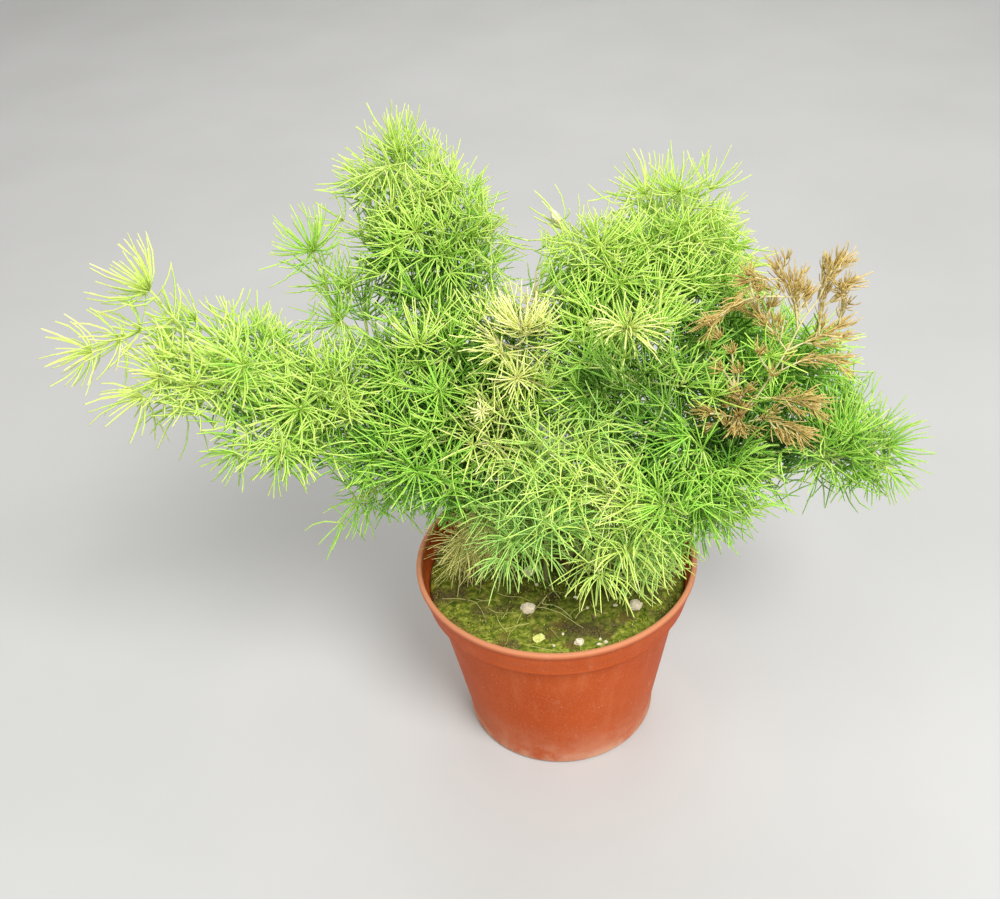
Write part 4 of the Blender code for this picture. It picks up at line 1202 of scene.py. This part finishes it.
def turned_mesh(name, profile, steps):
    """A closed solid turned about the upright axis; the profile starts and ends on the axis."""
    bm = bmesh.new()
    rings = []
    for r, z in profile:
        level = ring(r, z, steps) if r else [(0, 0, z)]
        rings.append([bm.verts.new([c * MM for c in point]) for point in level])
    for low, high in zip(rings, rings[1:]):
        for k in range(steps):
            n = (k + 1) % steps
            corners = [low[k % len(low)], low[n % len(low)], high[n % len(high)], high[k % len(high)]]
            bm.faces.new(list(dict.fromkeys(corners)))
    bmesh.ops.recalc_face_normals(bm, faces=bm.faces)
    mesh = bpy.data.meshes.new(name)
    bm.to_mesh(mesh)
    bm.free()
    return mesh


def arc(centre, radius, start, end, count):
    """Points of a profile's rounded corner, by angles in degrees."""
    angles = [math.radians(start + (end - start) * k / count) for k in range(count + 1)]
    return [(centre[0] + radius * math.cos(angle), centre[1] + radius * math.sin(angle)) for angle in angles]


def wall_inside(z):
    """Inner radius of the pot's plain wall at a height."""
    step = POT_HEIGHT - BAND_HEIGHT - 1.5
    return BASE_RADIUS + (BODY_TOP_RADIUS - BASE_RADIUS) * z / step - WALL


def pot_profile():
    """The pot's section: out along the base, up the wall, step, band and rim, and down inside."""
    band = POT_HEIGHT - BAND_HEIGHT
    inner = RIM_RADIUS - LIP
    profile = [(0, 0)] + arc((BASE_RADIUS - 1.7, 2.2), 2.2, -90, -10, 8)
    profile += [(BASE_RADIUS + (BODY_TOP_RADIUS - BASE_RADIUS) * share, 4 + (band - 5.6) * share)
                for share in (0.04, 0.2, 0.4, 0.6, 0.8, 0.96)]
    profile += [(BODY_TOP_RADIUS + 0.05, band - 1.3), (BODY_TOP_RADIUS + 0.35, band - 0.75),
                (BODY_TOP_RADIUS + 1.1, band - 0.45), (BAND_FOOT_RADIUS - 0.9, band - 0.15)]
    profile += arc((BAND_FOOT_RADIUS - 0.75, band + 0.75), 0.8, -80, 10, 5)
    profile += [(BAND_FOOT_RADIUS + 0.9, band + 4.2), (RIM_RADIUS - 0.75, band + 8.6),
                (RIM_RADIUS - 0.55, band + 10.2), (RIM_RADIUS - 0.1, band + 10.6)]
    profile += arc((RIM_RADIUS - 0.9, POT_HEIGHT - 0.9), 0.9, 0, 90, 5)
    profile += arc((inner + 0.8, POT_HEIGHT - 0.8), 0.8, 90, 180, 5)
    profile += [(inner - 0.6, POT_HEIGHT - 4.0), (BAND_FOOT_RADIUS - WALL, band + 1.3)]
    profile += [(wall_inside(z), z) for z in (band + 0.5, band / 2, 3.2)]
    return profile + [(BASE_RADIUS - WALL - 0.9, FLOOR), (0, FLOOR)]


def drain_cutters():
    """A collection of short round bars where the drain holes go."""
    cutters = bpy.data.collections.new("drains")
    bpy.context.scene.collection.children.link(cutters)
    for i in range(DRAIN_HOLES):
        turn = 2 * math.pi * (i + 0.5) / DRAIN_HOLES
        place = Vector((DRAIN_CIRCLE * math.cos(turn), DRAIN_CIRCLE * math.sin(turn), 1)) * MM
        bm = bmesh.new()
        bmesh.ops.create_cone(bm, cap_ends=True, segments=24, radius1=DRAIN_RADIUS * MM,
                              radius2=DRAIN_RADIUS * MM, depth=6 * MM)
        bmesh.ops.translate(bm, vec=place, verts=bm.verts)
        mesh = bpy.data.meshes.new(f"drain_{i}")
        bm.to_mesh(mesh)
        bm.free()
        cutters.objects.link(bpy.data.objects.new(f"drain_{i}", mesh))
    return cutters


def build_pot(look):
    pot = linked("plastic_pot", turned_mesh("plastic_pot", pot_profile(), 160), ())
    cutters = drain_cutters()
    trim = pot.modifiers.new("drains", "BOOLEAN")
    trim.operation = "DIFFERENCE"
    trim.operand_type = "COLLECTION"
    trim.collection = cutters
    trim.solver = "EXACT"
    bpy.context.view_layer.update()
    mesh = bpy.data.meshes.new_from_object(pot.evaluated_get(bpy.context.evaluated_depsgraph_get()))
    pot.modifiers.clear()
    pot.data = mesh
    for piece in list(cutters.objects):
        bpy.data.objects.remove(piece)
    bpy.data.collections.remove(cutters)
    mesh.materials.clear()
    mesh.materials.append(look)
    for face in mesh.polygons:
        face.use_smooth = True
        face.material_index = 0
    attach(pot, "root")
    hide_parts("pot")


# Soil

def soil_height(x, y):
    """Height of the packed soil's surface: a low dome with lumps that flatten towards the wall."""
    share = min(1.0, math.hypot(x, y) / 48.0)
    place = Vector((x * 0.11, y * 0.11, 3.7))
    lumps = SOIL_BUMP * (noise.noise(place) + 0.5 * noise.noise(place * 2.3))
    return SOIL_TOP + SOIL_DOME * (1 - share ** 2) + lumps * (1 - 0.7 * share ** 4)


def mossiness(x, y):
    """How mossy the soil is at a place, from 0 to 1."""
    broad = noise.noise(Vector((x * 0.055, y * 0.055, 9.1)))
    patch = broad + 0.5 * noise.noise(Vector((x * 0.16, y * 0.16, 2.2)))
    return max(0.0, min(1.0, 0.62 + 1.1 * patch))


def fine_height(x, y):
    """Height of the visible surface: the soil with cushions of moss and crumbs."""
    share = min(1.0, math.hypot(x, y) / SOIL_EDGE)
    place = Vector((x, y, 0))
    cushion = 0.62 * noise.noise(place * 0.30) + 0.34 * noise.noise(place * 0.72)
    crumb = 0.20 * noise.noise(place * 1.7)
    return soil_height(x, y) + (cushion * (0.35 + 0.65 * mossiness(x, y)) + crumb) * (1 - share ** 10)


def scatter(rng, reach):
    """A random place within this reach of the pot's middle, and its turn."""
    radius, turn = reach * math.sqrt(rng.random()), rng.uniform(0, 2 * math.pi)
    return radius * math.cos(turn), radius * math.sin(turn), turn


def build_soil(look):
    """The soil's surface in rings from the middle out, its side along the wall, and its flat foot."""
    steps, rings = 264, 48
    points = [(0, 0, fine_height(0, 0))]
    for i in range(1, rings):
        points += [(x, y, fine_height(x, y)) for x, y, _ in ring(SOIL_EDGE * i / rings, 0, steps)]
    side = ((SOIL_EDGE, SOIL_TOP - 0.9), (47.9, 63.9), (45.0, 62.9), (wall_inside(3.6) - GAP, 3.6),
            (BASE_RADIUS - WALL - 1.6, FLOOR + GAP))
    for radius, z in side:
        points += ring(radius, z, steps)
    points.append((0, 0, FLOOR + GAP))
    faces = [(0, 1 + k, 1 + (k + 1) % steps) for k in range(steps)]
    last = 1 + (rings + len(side) - 2) * steps
    for a in range(1, last, steps):
        faces += [(a + k, a + steps + k, a + steps + (k + 1) % steps, a + (k + 1) % steps)
                  for k in range(steps)]
    faces += [(last + k, len(points) - 1, last + (k + 1) % steps) for k in range(steps)]
    soil = mesh_piece("mossy_soil", points, faces, look)
    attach(soil, "root")
    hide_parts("soil")


def build_moss(look):
    """Small leafy points of moss that stand in the soil's mossy patches."""
    rng = random.Random(SEED + 1)
    points, faces, hues, shades = [], [], [], []
    one = [(0, 1, 4, 3), (1, 2, 5, 4), (2, 0, 3, 5), (3, 4, 6), (4, 5, 6), (5, 3, 6), (2, 1, 0)]
    for _ in range(MOSS_TRIES):
        x, y, turn = scatter(rng, 47.0)
        height, width = rng.uniform(0.5, 1.25), rng.uniform(0.22, 0.42)
        hue, shade = rng.gauss(0.5, 0.16), rng.uniform(0.7, 1.2)
        lean = (rng.gauss(0, 0.3), rng.gauss(0, 0.3))
        if rng.random() > mossiness(x, y) ** 1.5:
            continue
        foot = fine_height(x, y) - 0.25
        leaf = [(x + lean[0] * bent + width * wide * math.cos(turn + 2 * math.pi * k / 3),
                 y + lean[1] * bent + width * wide * math.sin(turn + 2 * math.pi * k / 3), foot + height * up)
                for bent, wide, up in ((0, 1, 0), (0.5, 0.8, 0.6)) for k in range(3)]
        add_part(points, faces, leaf + [(x + lean[0], y + lean[1], foot + height)], one)
        hues += [hue - 0.25] * 3 + [hue] * 3 + [hue + 0.2]
        shades += [shade * 0.7] * 3 + [shade] * 3 + [shade * 1.15]
    moss = mesh_piece("moss", points, faces, look)
    colour_points(moss, hues, shades)
    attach(moss, "root")


def lump(centre, size, seed, subdivisions, rough):
    """Points and faces of a lumpy, pitted grain."""
    bm = bmesh.new()
    bmesh.ops.create_icosphere(bm, subdivisions=subdivisions, radius=1)
    points = []
    for vertex in bm.verts:
        p = vertex.co
        swell = 1 + rough * (noise.noise(p * 1.3 + Vector((seed, 0, 0)))
                             + 0.45 * noise.noise(p * 3.4 + Vector((0, seed, 0)))
                             + 0.2 * noise.noise(p * 8.0 + Vector((0, 0, seed))))
        points.append(tuple(centre[k] + p[k] * size[k] * swell for k in range(3)))
    faces = [tuple(v.index for v in face.verts) for face in bm.faces]
    bm.free()
    return points, faces


def build_grains(look):
    for name, ((x, y), size) in PERLITE.items():
        centre = (x, y, soil_height(x, y) + size[2] * 0.45)
        points, faces = lump(centre, [s * 0.98 for s in size], x, 4, 0.26)
        grain = mesh_piece(name.replace("perlite", "grain"), points, faces, look)
        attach(grain, "root")
        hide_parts(name)


def build_crumbs(pale, dark):
    """Loose bits on the soil: small bits of perlite, and crumbs of peat and bark."""
    rng = random.Random(SEED + 2)
    bits = ("perlite_bits", pale, 16, (0.45, 1.0), PERLITE_BITS)
    crumbs = ("peat_crumbs", dark, 70, (0.35, 0.9), ())
    for name, look, count, sizes, places in (bits, crumbs):
        points, faces = [], []
        for i in range(count):
            x, y, _ = scatter(rng, 45.5)
            if i < len(places):
                x, y = places[i]
            size = [rng.uniform(*sizes) * k for k in (1.0, 0.8, 0.7)]
            centre = (x, y, fine_height(x, y) + size[2] * 0.35)
            add_part(points, faces, *lump(centre, size, i * 3.1, 2, 0.3))
        obj = mesh_piece(name, points, faces, look)
        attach(obj, "root")


def loose_thread(rng):
    """The route of one bowed thread at a random place, or nothing where it would pass the wall."""
    x, y, _ = scatter(rng, 43.0)
    way, length = rng.uniform(0, 2 * math.pi), rng.uniform(6, 13)
    bow = rng.gauss(0, 1.2)
    route = [(x + math.cos(way) * length * t - math.sin(way) * bow * math.sin(math.pi * t),
              y + math.sin(way) * length * t + math.cos(way) * bow * math.sin(math.pi * t))
             for t in (0, 0.35, 0.7, 1)]
    return [route] if all(math.hypot(*p) < 46.5 for p in route) else []


def build_threads(look):
    """Dry needles and threads of litter that lie on the moss."""
    rng = random.Random(SEED + 3)
    points, faces, hues, shades = [], [], [], []
    routes = list(THREADS)
    for _ in range(LOOSE_THREADS):
        routes += loose_thread(rng)
    for route in routes:
        flat = smooth_line([Vector((x, y, 0)) for x, y in route], 1.0)
        line = [Vector((p.x, p.y, fine_height(p.x, p.y) + 0.28)) for p in flat]
        line = [(a + 2 * b + c) / 4 for a, b, c in zip([line[0]] + line, line, line[1:] + [line[-1]])]
        thin = rng.uniform(0.13, 0.21)
        tube, tube_faces = tube_parts(line, taper(len(line), (thin, thin * 0.6)), 5)
        add_part(points, faces, tube, tube_faces)
        hues += [rng.uniform(0.35, 0.9)] * len(tube)
        shades += [rng.uniform(0.85, 1.15)] * len(tube)
    obj = mesh_piece("litter_threads", points, faces, look)
    colour_points(obj, hues, shades)
    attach(obj, "root")


def build_scrap(look):
    """The curled chip of leaf, a thin closed sheet."""
    x, y = LEAF_SCRAP
    place = (Matrix.Translation(Vector((x, y, soil_height(x, y) + 0.5))) @ Matrix.Rotation(0.5, 4, "Z")
             @ Matrix.Rotation(0.14, 4, "X"))
    across, along = 14, 10
    wide = across + 1
    sheet = []
    for j in range(along + 1):
        for i in range(wide):
            u, v = i / across * 2 - 1, j / along * 2 - 1
            edge = 1 - 0.12 * noise.noise(Vector((u * 2.2, v * 2.2, 5.0))) - 0.16 * (u * u * v * v)
            sheet.append(Vector((u * LEAF_SCRAP_SIZE[0] * 0.49 * edge, v * LEAF_SCRAP_SIZE[1] * 0.49 * edge,
                                 0.10 * math.cos(u * 2.6) + 0.12 * v * v - 0.05)))
    half = UPWARD * 0.14
    points = [place @ (p + half) for p in sheet] + [place @ (p - half) for p in sheet]
    count = len(sheet)
    faces = []
    for a in (j * wide + i for j in range(along) for i in range(across)):
        faces += [(a, a + 1, a + wide + 1, a + wide),
                  (count + a, count + a + wide, count + a + wide + 1, count + a + 1)]
    rim = ([i for i in range(across)] + [j * wide + across for j in range(along)]
           + [along * wide + i for i in range(across, 0, -1)] + [j * wide for j in range(along, 0, -1)])
    faces += [(b, a, count + a, count + b) for a, b in zip(rim, rim[1:] + rim[:1])]
    obj = mesh_piece("curled_scrap", points, faces, look)
    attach(obj, "root")
    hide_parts("leaf_scrap")


def build_bud(look):
    """The pale bud at the back stem's tip, wrapped in overlapping scales."""
    lean = Matrix.Rotation(math.radians(-25), 3, "Y")
    points = []
    rings, sides = 22, 18
    for i in range(rings + 1):
        t = i / rings
        bulge = math.sin(math.pi * t)
        radius = BUD_RADIUS * math.sin(math.pi * min(t * 1.04, 1.0)) ** 0.75 * (1 - 0.28 * t) + 0.02
        step = 0.13 * ((t * BUD_SCALES) % 1.0)
        for k in range(sides):
            turn = 2 * math.pi * k / sides
            wave = 1 + 0.10 * math.cos(3 * turn + 2.2 * math.floor(t * BUD_SCALES)) * bulge
            r = (radius * wave + step * bulge) * 0.95
            points.append(lean @ Vector((r * math.cos(turn), r * math.sin(turn), (t - 0.5) * BUD_LENGTH))
                          + BUD_CENTRE)
    faces = [tuple(range(sides - 1, -1, -1)), tuple(rings * sides + k for k in range(sides))]
    for a in range(0, rings * sides, sides):
        faces += [(a + k, a + (k + 1) % sides, a + sides + (k + 1) % sides, a + sides + k)
                  for k in range(sides)]
    obj = mesh_piece("pale_bud", points, faces, look)
    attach(obj, "root")


# Materials, whose nodes work in metres

class Look:
    """A node material with a few short ways to add nodes."""

    def __init__(self, name, roughness, shine=0.5):
        self.material = bpy.data.materials.new(name)
        self.material.use_nodes = True
        self.tree = self.material.node_tree
        self.shader = self.tree.nodes["Principled BSDF"]
        self.shader.inputs["Roughness"].default_value = roughness
        self.shader.inputs["Specular IOR Level"].default_value = shine
        self.place = self.add("ShaderNodeTexCoord").outputs["Object"]

    def add(self, kind, **settings):
        node = self.tree.nodes.new(kind)
        for key, value in settings.items():
            setattr(node, key, value)
        return node

    def join(self, source, target):
        self.tree.links.new(source, target)

    def put(self, value, socket):
        """Sets a socket to a number or colour, or joins it to another node's output."""
        if isinstance(value, (int, float)):
            socket.default_value = value
        elif isinstance(value, tuple):
            socket.default_value = (*value, 1.0)
        else:
            self.join(value, socket)

    def attribute(self, name):
        node = self.add("ShaderNodeAttribute", attribute_type="GEOMETRY", attribute_name=name)
        return node.outputs["Fac"]

    def noise(self, scale, detail=3.0, rough=0.5, stretch=None):
        """Noise through the object; stretch scales each direction, so a small value draws it out."""
        node = self.add("ShaderNodeTexNoise")
        node.inputs["Scale"].default_value = scale
        node.inputs["Detail"].default_value = detail
        node.inputs["Roughness"].default_value = rough
        source = self.place
        if stretch:
            mapping = self.add("ShaderNodeMapping")
            mapping.inputs["Scale"].default_value = stretch
            self.join(self.place, mapping.inputs["Vector"])
            source = mapping.outputs["Vector"]
        self.join(source, node.inputs["Vector"])
        return node.outputs["Fac"]

    def cells(self, scale):
        """Distance from the middle of the nearest of many small cells."""
        node = self.add("ShaderNodeTexVoronoi")
        node.inputs["Scale"].default_value = scale
        self.join(self.place, node.inputs["Vector"])
        return node.outputs["Distance"]

    def math(self, operation, a, b, clamp=False):
        node = self.add("ShaderNodeMath", operation=operation, use_clamp=clamp)
        self.put(a, node.inputs[0])
        self.put(b, node.inputs[1])
        return node.outputs[0]

    def times(self, a, b):
        return self.math("MULTIPLY", a, b)

    def plus(self, a, b):
        return self.math("ADD", a, b)

    def minus(self, a, b, clamp=False):
        return self.math("SUBTRACT", a, b, clamp)

    def ramp(self, source, stops):
        """A colour scale; a stop's colour may be one number, for grey."""
        node = self.add("ShaderNodeValToRGB")
        elements = node.color_ramp.elements
        while len(elements) < len(stops):
            elements.new(0.5)
        for element, (position, colour) in zip(elements, stops):
            element.position = position
            element.color = (*colour, 1.0) if isinstance(colour, tuple) else (colour, colour, colour, 1.0)
        self.join(source, node.inputs["Fac"])
        return node.outputs["Color"]

    def rise(self, source, low, high):
        """From 0 to 1 between two values of the source."""
        return self.ramp(source, ((low, 0.0), (high, 1.0)))

    def mix(self, share, a, b, blend="MIX"):
        node = self.add("ShaderNodeMix", data_type="RGBA", blend_type=blend)
        self.put(share, node.inputs["Factor"])
        self.put(a, node.inputs[6])
        self.put(b, node.inputs[7])
        return node.outputs[2]

    def over(self, base, colour, share, strength):
        """A colour laid over the base, by a share that varies and a strength."""
        return self.mix(self.times(share, strength), base, colour)

    def bump(self, height, distance, strength):
        """Relief as high as the distance where the source is 1."""
        node = self.add("ShaderNodeBump")
        node.inputs["Distance"].default_value = distance
        node.inputs["Strength"].default_value = strength
        self.join(height, node.inputs["Height"])
        self.join(node.outputs["Normal"], self.shader.inputs["Normal"])

    def colour(self, source):
        self.join(source, self.shader.inputs["Base Color"])

    def roughness(self, source, low, high):
        """Roughness between two values, by the source."""
        node = self.add("ShaderNodeMapRange")
        node.inputs["To Min"].default_value = low
        node.inputs["To Max"].default_value = high
        self.join(source, node.inputs["Value"])
        self.join(node.outputs["Result"], self.shader.inputs["Roughness"])


def leafy_look(name, stops, roughness, soft, shine=0.34):
    """Needles or moss: colour from the points' hue and brightness, with fine mottling."""
    look = Look(name, roughness, shine)
    mottle = look.noise(900.0)
    hue = look.plus(look.attribute("hue"), look.times(look.minus(mottle, 0.5), 0.22))
    # For needles, the points' shade holds painted light and shade besides their own tone
    shade = look.times(look.attribute("shade"), look.plus(look.times(mottle, 0.3), 0.85))
    grey = look.ramp(look.times(shade, 0.5), ((0.0, 0.0), (1.0, 2.0)))
    look.colour(look.mix(1.0, look.ramp(hue, stops), grey, "MULTIPLY"))
    look.roughness(mottle, roughness - 0.08, roughness + 0.10)
    look.bump(look.noise(2600.0, 2.0), 0.00005, 0.35)
    if soft:
        look.shader.inputs["Subsurface Weight"].default_value = soft
        look.shader.inputs["Subsurface Radius"].default_value = (0.6, 1.0, 0.2)
        look.shader.inputs["Subsurface Scale"].default_value = 0.0006
    return look.material


def pot_look():
    """Terracotta plastic: faint mould streaks, dust low down, a painted highlight on the lip, scuffs and
    specks.
    """
    look = Look("pot_plastic", 0.45, 0.07)
    streak = look.noise(150.0, 4.0, 0.6, (1.0, 1.0, 0.08))
    fine = look.noise(1500.0, 3.0, 0.6)
    patch = look.noise(70.0, 5.0, 0.65)
    split = look.add("ShaderNodeSeparateXYZ")
    look.join(look.place, split.inputs[0])
    z = split.outputs["Z"]
    low = look.minus(1.0, look.math("DIVIDE", z, DUST_HEIGHT), clamp=True)
    dust = look.times(look.math("POWER", low, 1.3), look.rise(patch, 0.34, 0.58))
    foot = look.minus(1.0, look.math("DIVIDE", z, FOOT_HEIGHT), clamp=True)
    scuff = look.times(look.rise(look.noise(240.0, 5.0, 0.7, (1.0, 1.0, 0.35)), 0.60, 0.72),
                       look.rise(look.noise(22.0, 2.0), 0.45, 0.62))
    speck = look.times(look.ramp(look.cells(420.0), ((0.06, 1.0), (0.12, 0.0))),
                       look.rise(look.noise(90.0, 2.0), 0.56, 0.64))
    lip = look.rise(look.math("DIVIDE", look.minus(z, LIP_HIGHLIGHT_FROM), LIP_HIGHLIGHT_OVER), 0.0, 1.0)
    base = look.ramp(look.noise(28.0, 4.0, 0.55), POT_COLOURS)
    base = look.over(base, STREAK_COLOUR, look.rise(streak, 0.52, 0.80), 0.26)
    base = look.over(base, DUST_COLOUR, dust, 0.62)
    base = look.mix(look.times(foot, look.ramp(patch, ((0.34, 0.15), (0.60, 0.75)))), base, FOOT_COLOUR)
    base = look.over(base, SCUFF_COLOUR, scuff, 0.45)
    base = look.over(base, SPECK_COLOUR, speck, 0.7)
    # Painted highlight: the lip is laid over with a paler colour
    base = look.over(base, LIP_HIGHLIGHT_COLOUR, lip, 0.8)
    look.colour(look.over(base, GRAIN_COLOUR, look.rise(look.noise(1100.0, 4.0, 0.75), 0.50, 0.66), 0.22))
    look.roughness(look.plus(look.times(dust, 0.6), look.times(fine, 0.5)), 0.40, 0.74)
    look.bump(look.plus(look.times(fine, 0.4), look.times(streak, 0.6)), 0.00006, 0.5)
    return look.material


def painted_shade_under_plant(look):
    """Painted shade: grey, darkest round the stems' feet under the plant and white near the pot's front."""
    away = look.add("ShaderNodeVectorMath", operation="DISTANCE")
    look.join(look.place, away.inputs[0])
    away.inputs[1].default_value = SHADE_CENTRE
    edge = look.plus(away.outputs["Value"], look.times(look.noise(60.0), 0.012))
    return look.ramp(look.times(edge, 10.0), ((0.30, 0.45), (0.56, 1.0)))


def soil_look():
    """Damp potting mix under moss: brown and black soil, green and yellow-green cushions."""
    look = Look("mossy_soil", 0.9, 0.1)
    small = look.noise(420.0, 4.0, 0.65)
    grit = look.noise(1700.0, 3.0, 0.6)
    colour = look.mix(look.rise(look.noise(75.0, 5.0, 0.62), 0.38, 0.50),
                      look.ramp(grit, SOIL_COLOURS), look.ramp(small, CUSHION_COLOURS))
    colour = look.over(colour, BARE_COLOUR, look.rise(look.noise(130.0, 4.0, 0.6), 0.56, 0.66), 0.7)
    # Painted shade under the plant darkens the soil
    look.colour(look.mix(1.0, colour, painted_shade_under_plant(look), "MULTIPLY"))
    look.roughness(small, 0.78, 1.0)
    look.bump(look.plus(small, look.times(grit, 0.6)), 0.0006, 0.8)
    return look.material


def mineral_look(name, pale, deep, scale, bump):
    """Pitted grains: perlite, or crumbs of peat."""
    look = Look(name, 0.85)
    cloud = look.noise(scale, 5.0, 0.6)
    holes = look.rise(look.cells(scale * 2.2), 0.05, 0.30)
    colour = look.ramp(cloud, ((0.32, deep), (0.62, pale)))
    # Painted shade: the pits take the deep colour
    look.colour(look.over(colour, deep, look.minus(1.0, holes), 0.55))
    look.roughness(cloud, 0.75, 0.98)
    look.bump(look.plus(holes, cloud), bump, 0.7)
    return look.material


def bark_look(name, stops):
    """Thin stems: colour by the points' hue, with lengthwise ridges."""
    look = Look(name, 0.6)
    ridge = look.noise(1400.0, 3.0, 0.6, (1.0, 1.0, 0.22))
    hue = look.plus(look.attribute("hue"), look.times(look.minus(ridge, 0.5), 0.35))
    look.colour(look.over(look.ramp(hue, stops), RIDGE_COLOUR, ridge, 0.3))
    look.roughness(ridge, 0.45, 0.8)
    look.bump(ridge, 0.00012, 0.6)
    return look.material


def veined_look(name, scale, stretch, stops, low, high):
    """Thin leafy skin: colour, roughness and relief follow fine veins."""
    look = Look(name, 0.6)
    vein = look.noise(scale, 3.0, 0.6, stretch)
    look.colour(look.ramp(vein, stops))
    look.roughness(vein, low, high)
    look.bump(vein, 0.0001, 0.5)
    return look.material


def scrap_look():
    return veined_look("leaf_chip", 700.0, (1.0, 0.2, 1.0), CHIP_COLOURS, 0.45, 0.7)


def bud_look():
    return veined_look("bud_scales", 1300.0, (1.0, 1.0, 0.2), BUD_COLOURS, 0.5, 0.75)


def floor_look():
    look = Look("floor_paper", 0.9)
    cloud = look.noise(9.0)
    look.colour(look.ramp(cloud, FLOOR_COLOURS))
    look.roughness(cloud, 0.85, 0.95)
    return look.material


# Stage, light and camera

def build_floor():
    half = FLOOR_SIZE / 2
    corners = [(-half, -half, 0), (half, -half, 0), (half, half, 0), (-half, half, 0)]
    floor = mesh_piece("floor", corners, [(0, 1, 2, 3)], floor_look(), smooth=False)


def build_lights():
    world = bpy.data.worlds.new("studio")
    world.use_nodes = True
    background = world.node_tree.nodes["Background"]
    background.inputs["Color"].default_value = (*WORLD_COLOUR, 1.0)
    background.inputs["Strength"].default_value = WORLD_LIGHT
    bpy.context.scene.world = world
    for name, place, size, power in LIGHTS:
        light = bpy.data.lights.new(name, "AREA")
        light.shape = "DISK"
        light.size = size
        light.energy = power
        obj = bpy.data.objects.new(name, light)
        bpy.context.scene.collection.objects.link(obj)
        obj.location = place
        obj.rotation_euler = (Vector(LIGHT_AIM) - Vector(place)).to_track_quat("-Z", "Y").to_euler()


def build_camera():
    """The photograph's camera: where it stands, how far it looks down, and its slight roll."""
    pitch, roll = math.radians(CAMERA_PITCH), math.radians(CAMERA_ROLL)
    right = Vector((1, 0, 0))
    ahead = Vector((0, math.cos(pitch), -math.sin(pitch)))
    up = Vector((0, math.sin(pitch), math.cos(pitch)))
    x = right * math.cos(roll) + up * math.sin(roll)
    y = up * math.cos(roll) - right * math.sin(roll)
    data = bpy.data.cameras.new("camera")
    data.lens = CAMERA_LENS
    data.sensor_width = CAMERA_SENSOR
    data.sensor_fit = "HORIZONTAL"
    data.clip_start, data.clip_end = CAMERA_RANGE
    camera = bpy.data.objects.new("camera", data)
    bpy.context.scene.collection.objects.link(camera)
    turn = Matrix((x, y, -ahead)).transposed().to_4x4()
    camera.matrix_world = Matrix.Translation(Vector(CAMERA_PLACE) * MM) @ turn
    bpy.context.scene.camera = camera


def main():
    bpy.context.scene.view_settings.view_transform = "Standard"
    build_camera()
    build_floor()
    build_lights()
    bark = bark_look("green_bark", BARK_COLOURS)
    dry_bark = bark_look("dry_bark", DRY_BARK_COLOURS)
    build_foliage({
        "green": (leafy_look("needles", LEAF_COLOURS, 0.48, 0.25), bark),
        "pale": (leafy_look("pale_needles", LEAF_COLOURS, 0.5, 0.25), dry_bark),
        "front": (leafy_look("front_needles", FRONT_COLOURS, 0.5, 0.25), bark),
        "dried": (leafy_look("dried_needles", DRY_COLOURS, 0.7, 0.0), dry_bark),
        "old": (leafy_look("old_needles", OLD_COLOURS, 0.7, 0.0), dry_bark),
    })
    build_bud(bud_look())
    build_pot(pot_look())
    build_soil(soil_look())
    build_moss(leafy_look("moss", MOSS_COLOURS, 0.85, 0.0, 0.1))
    build_grains(mineral_look("perlite_grain", (0.94, 0.85, 0.66), (0.66, 0.55, 0.38), 420.0, 0.0004))
    build_crumbs(mineral_look("perlite_bit", (0.92, 0.86, 0.60), (0.62, 0.55, 0.36), 700.0, 0.0002),
                 mineral_look("peat", (0.22, 0.15, 0.07), (0.09, 0.06, 0.03), 700.0, 0.0003))
    build_threads(leafy_look("litter", LITTER_COLOURS, 0.7, 0.0, 0.1))
    build_scrap(scrap_look())


main()
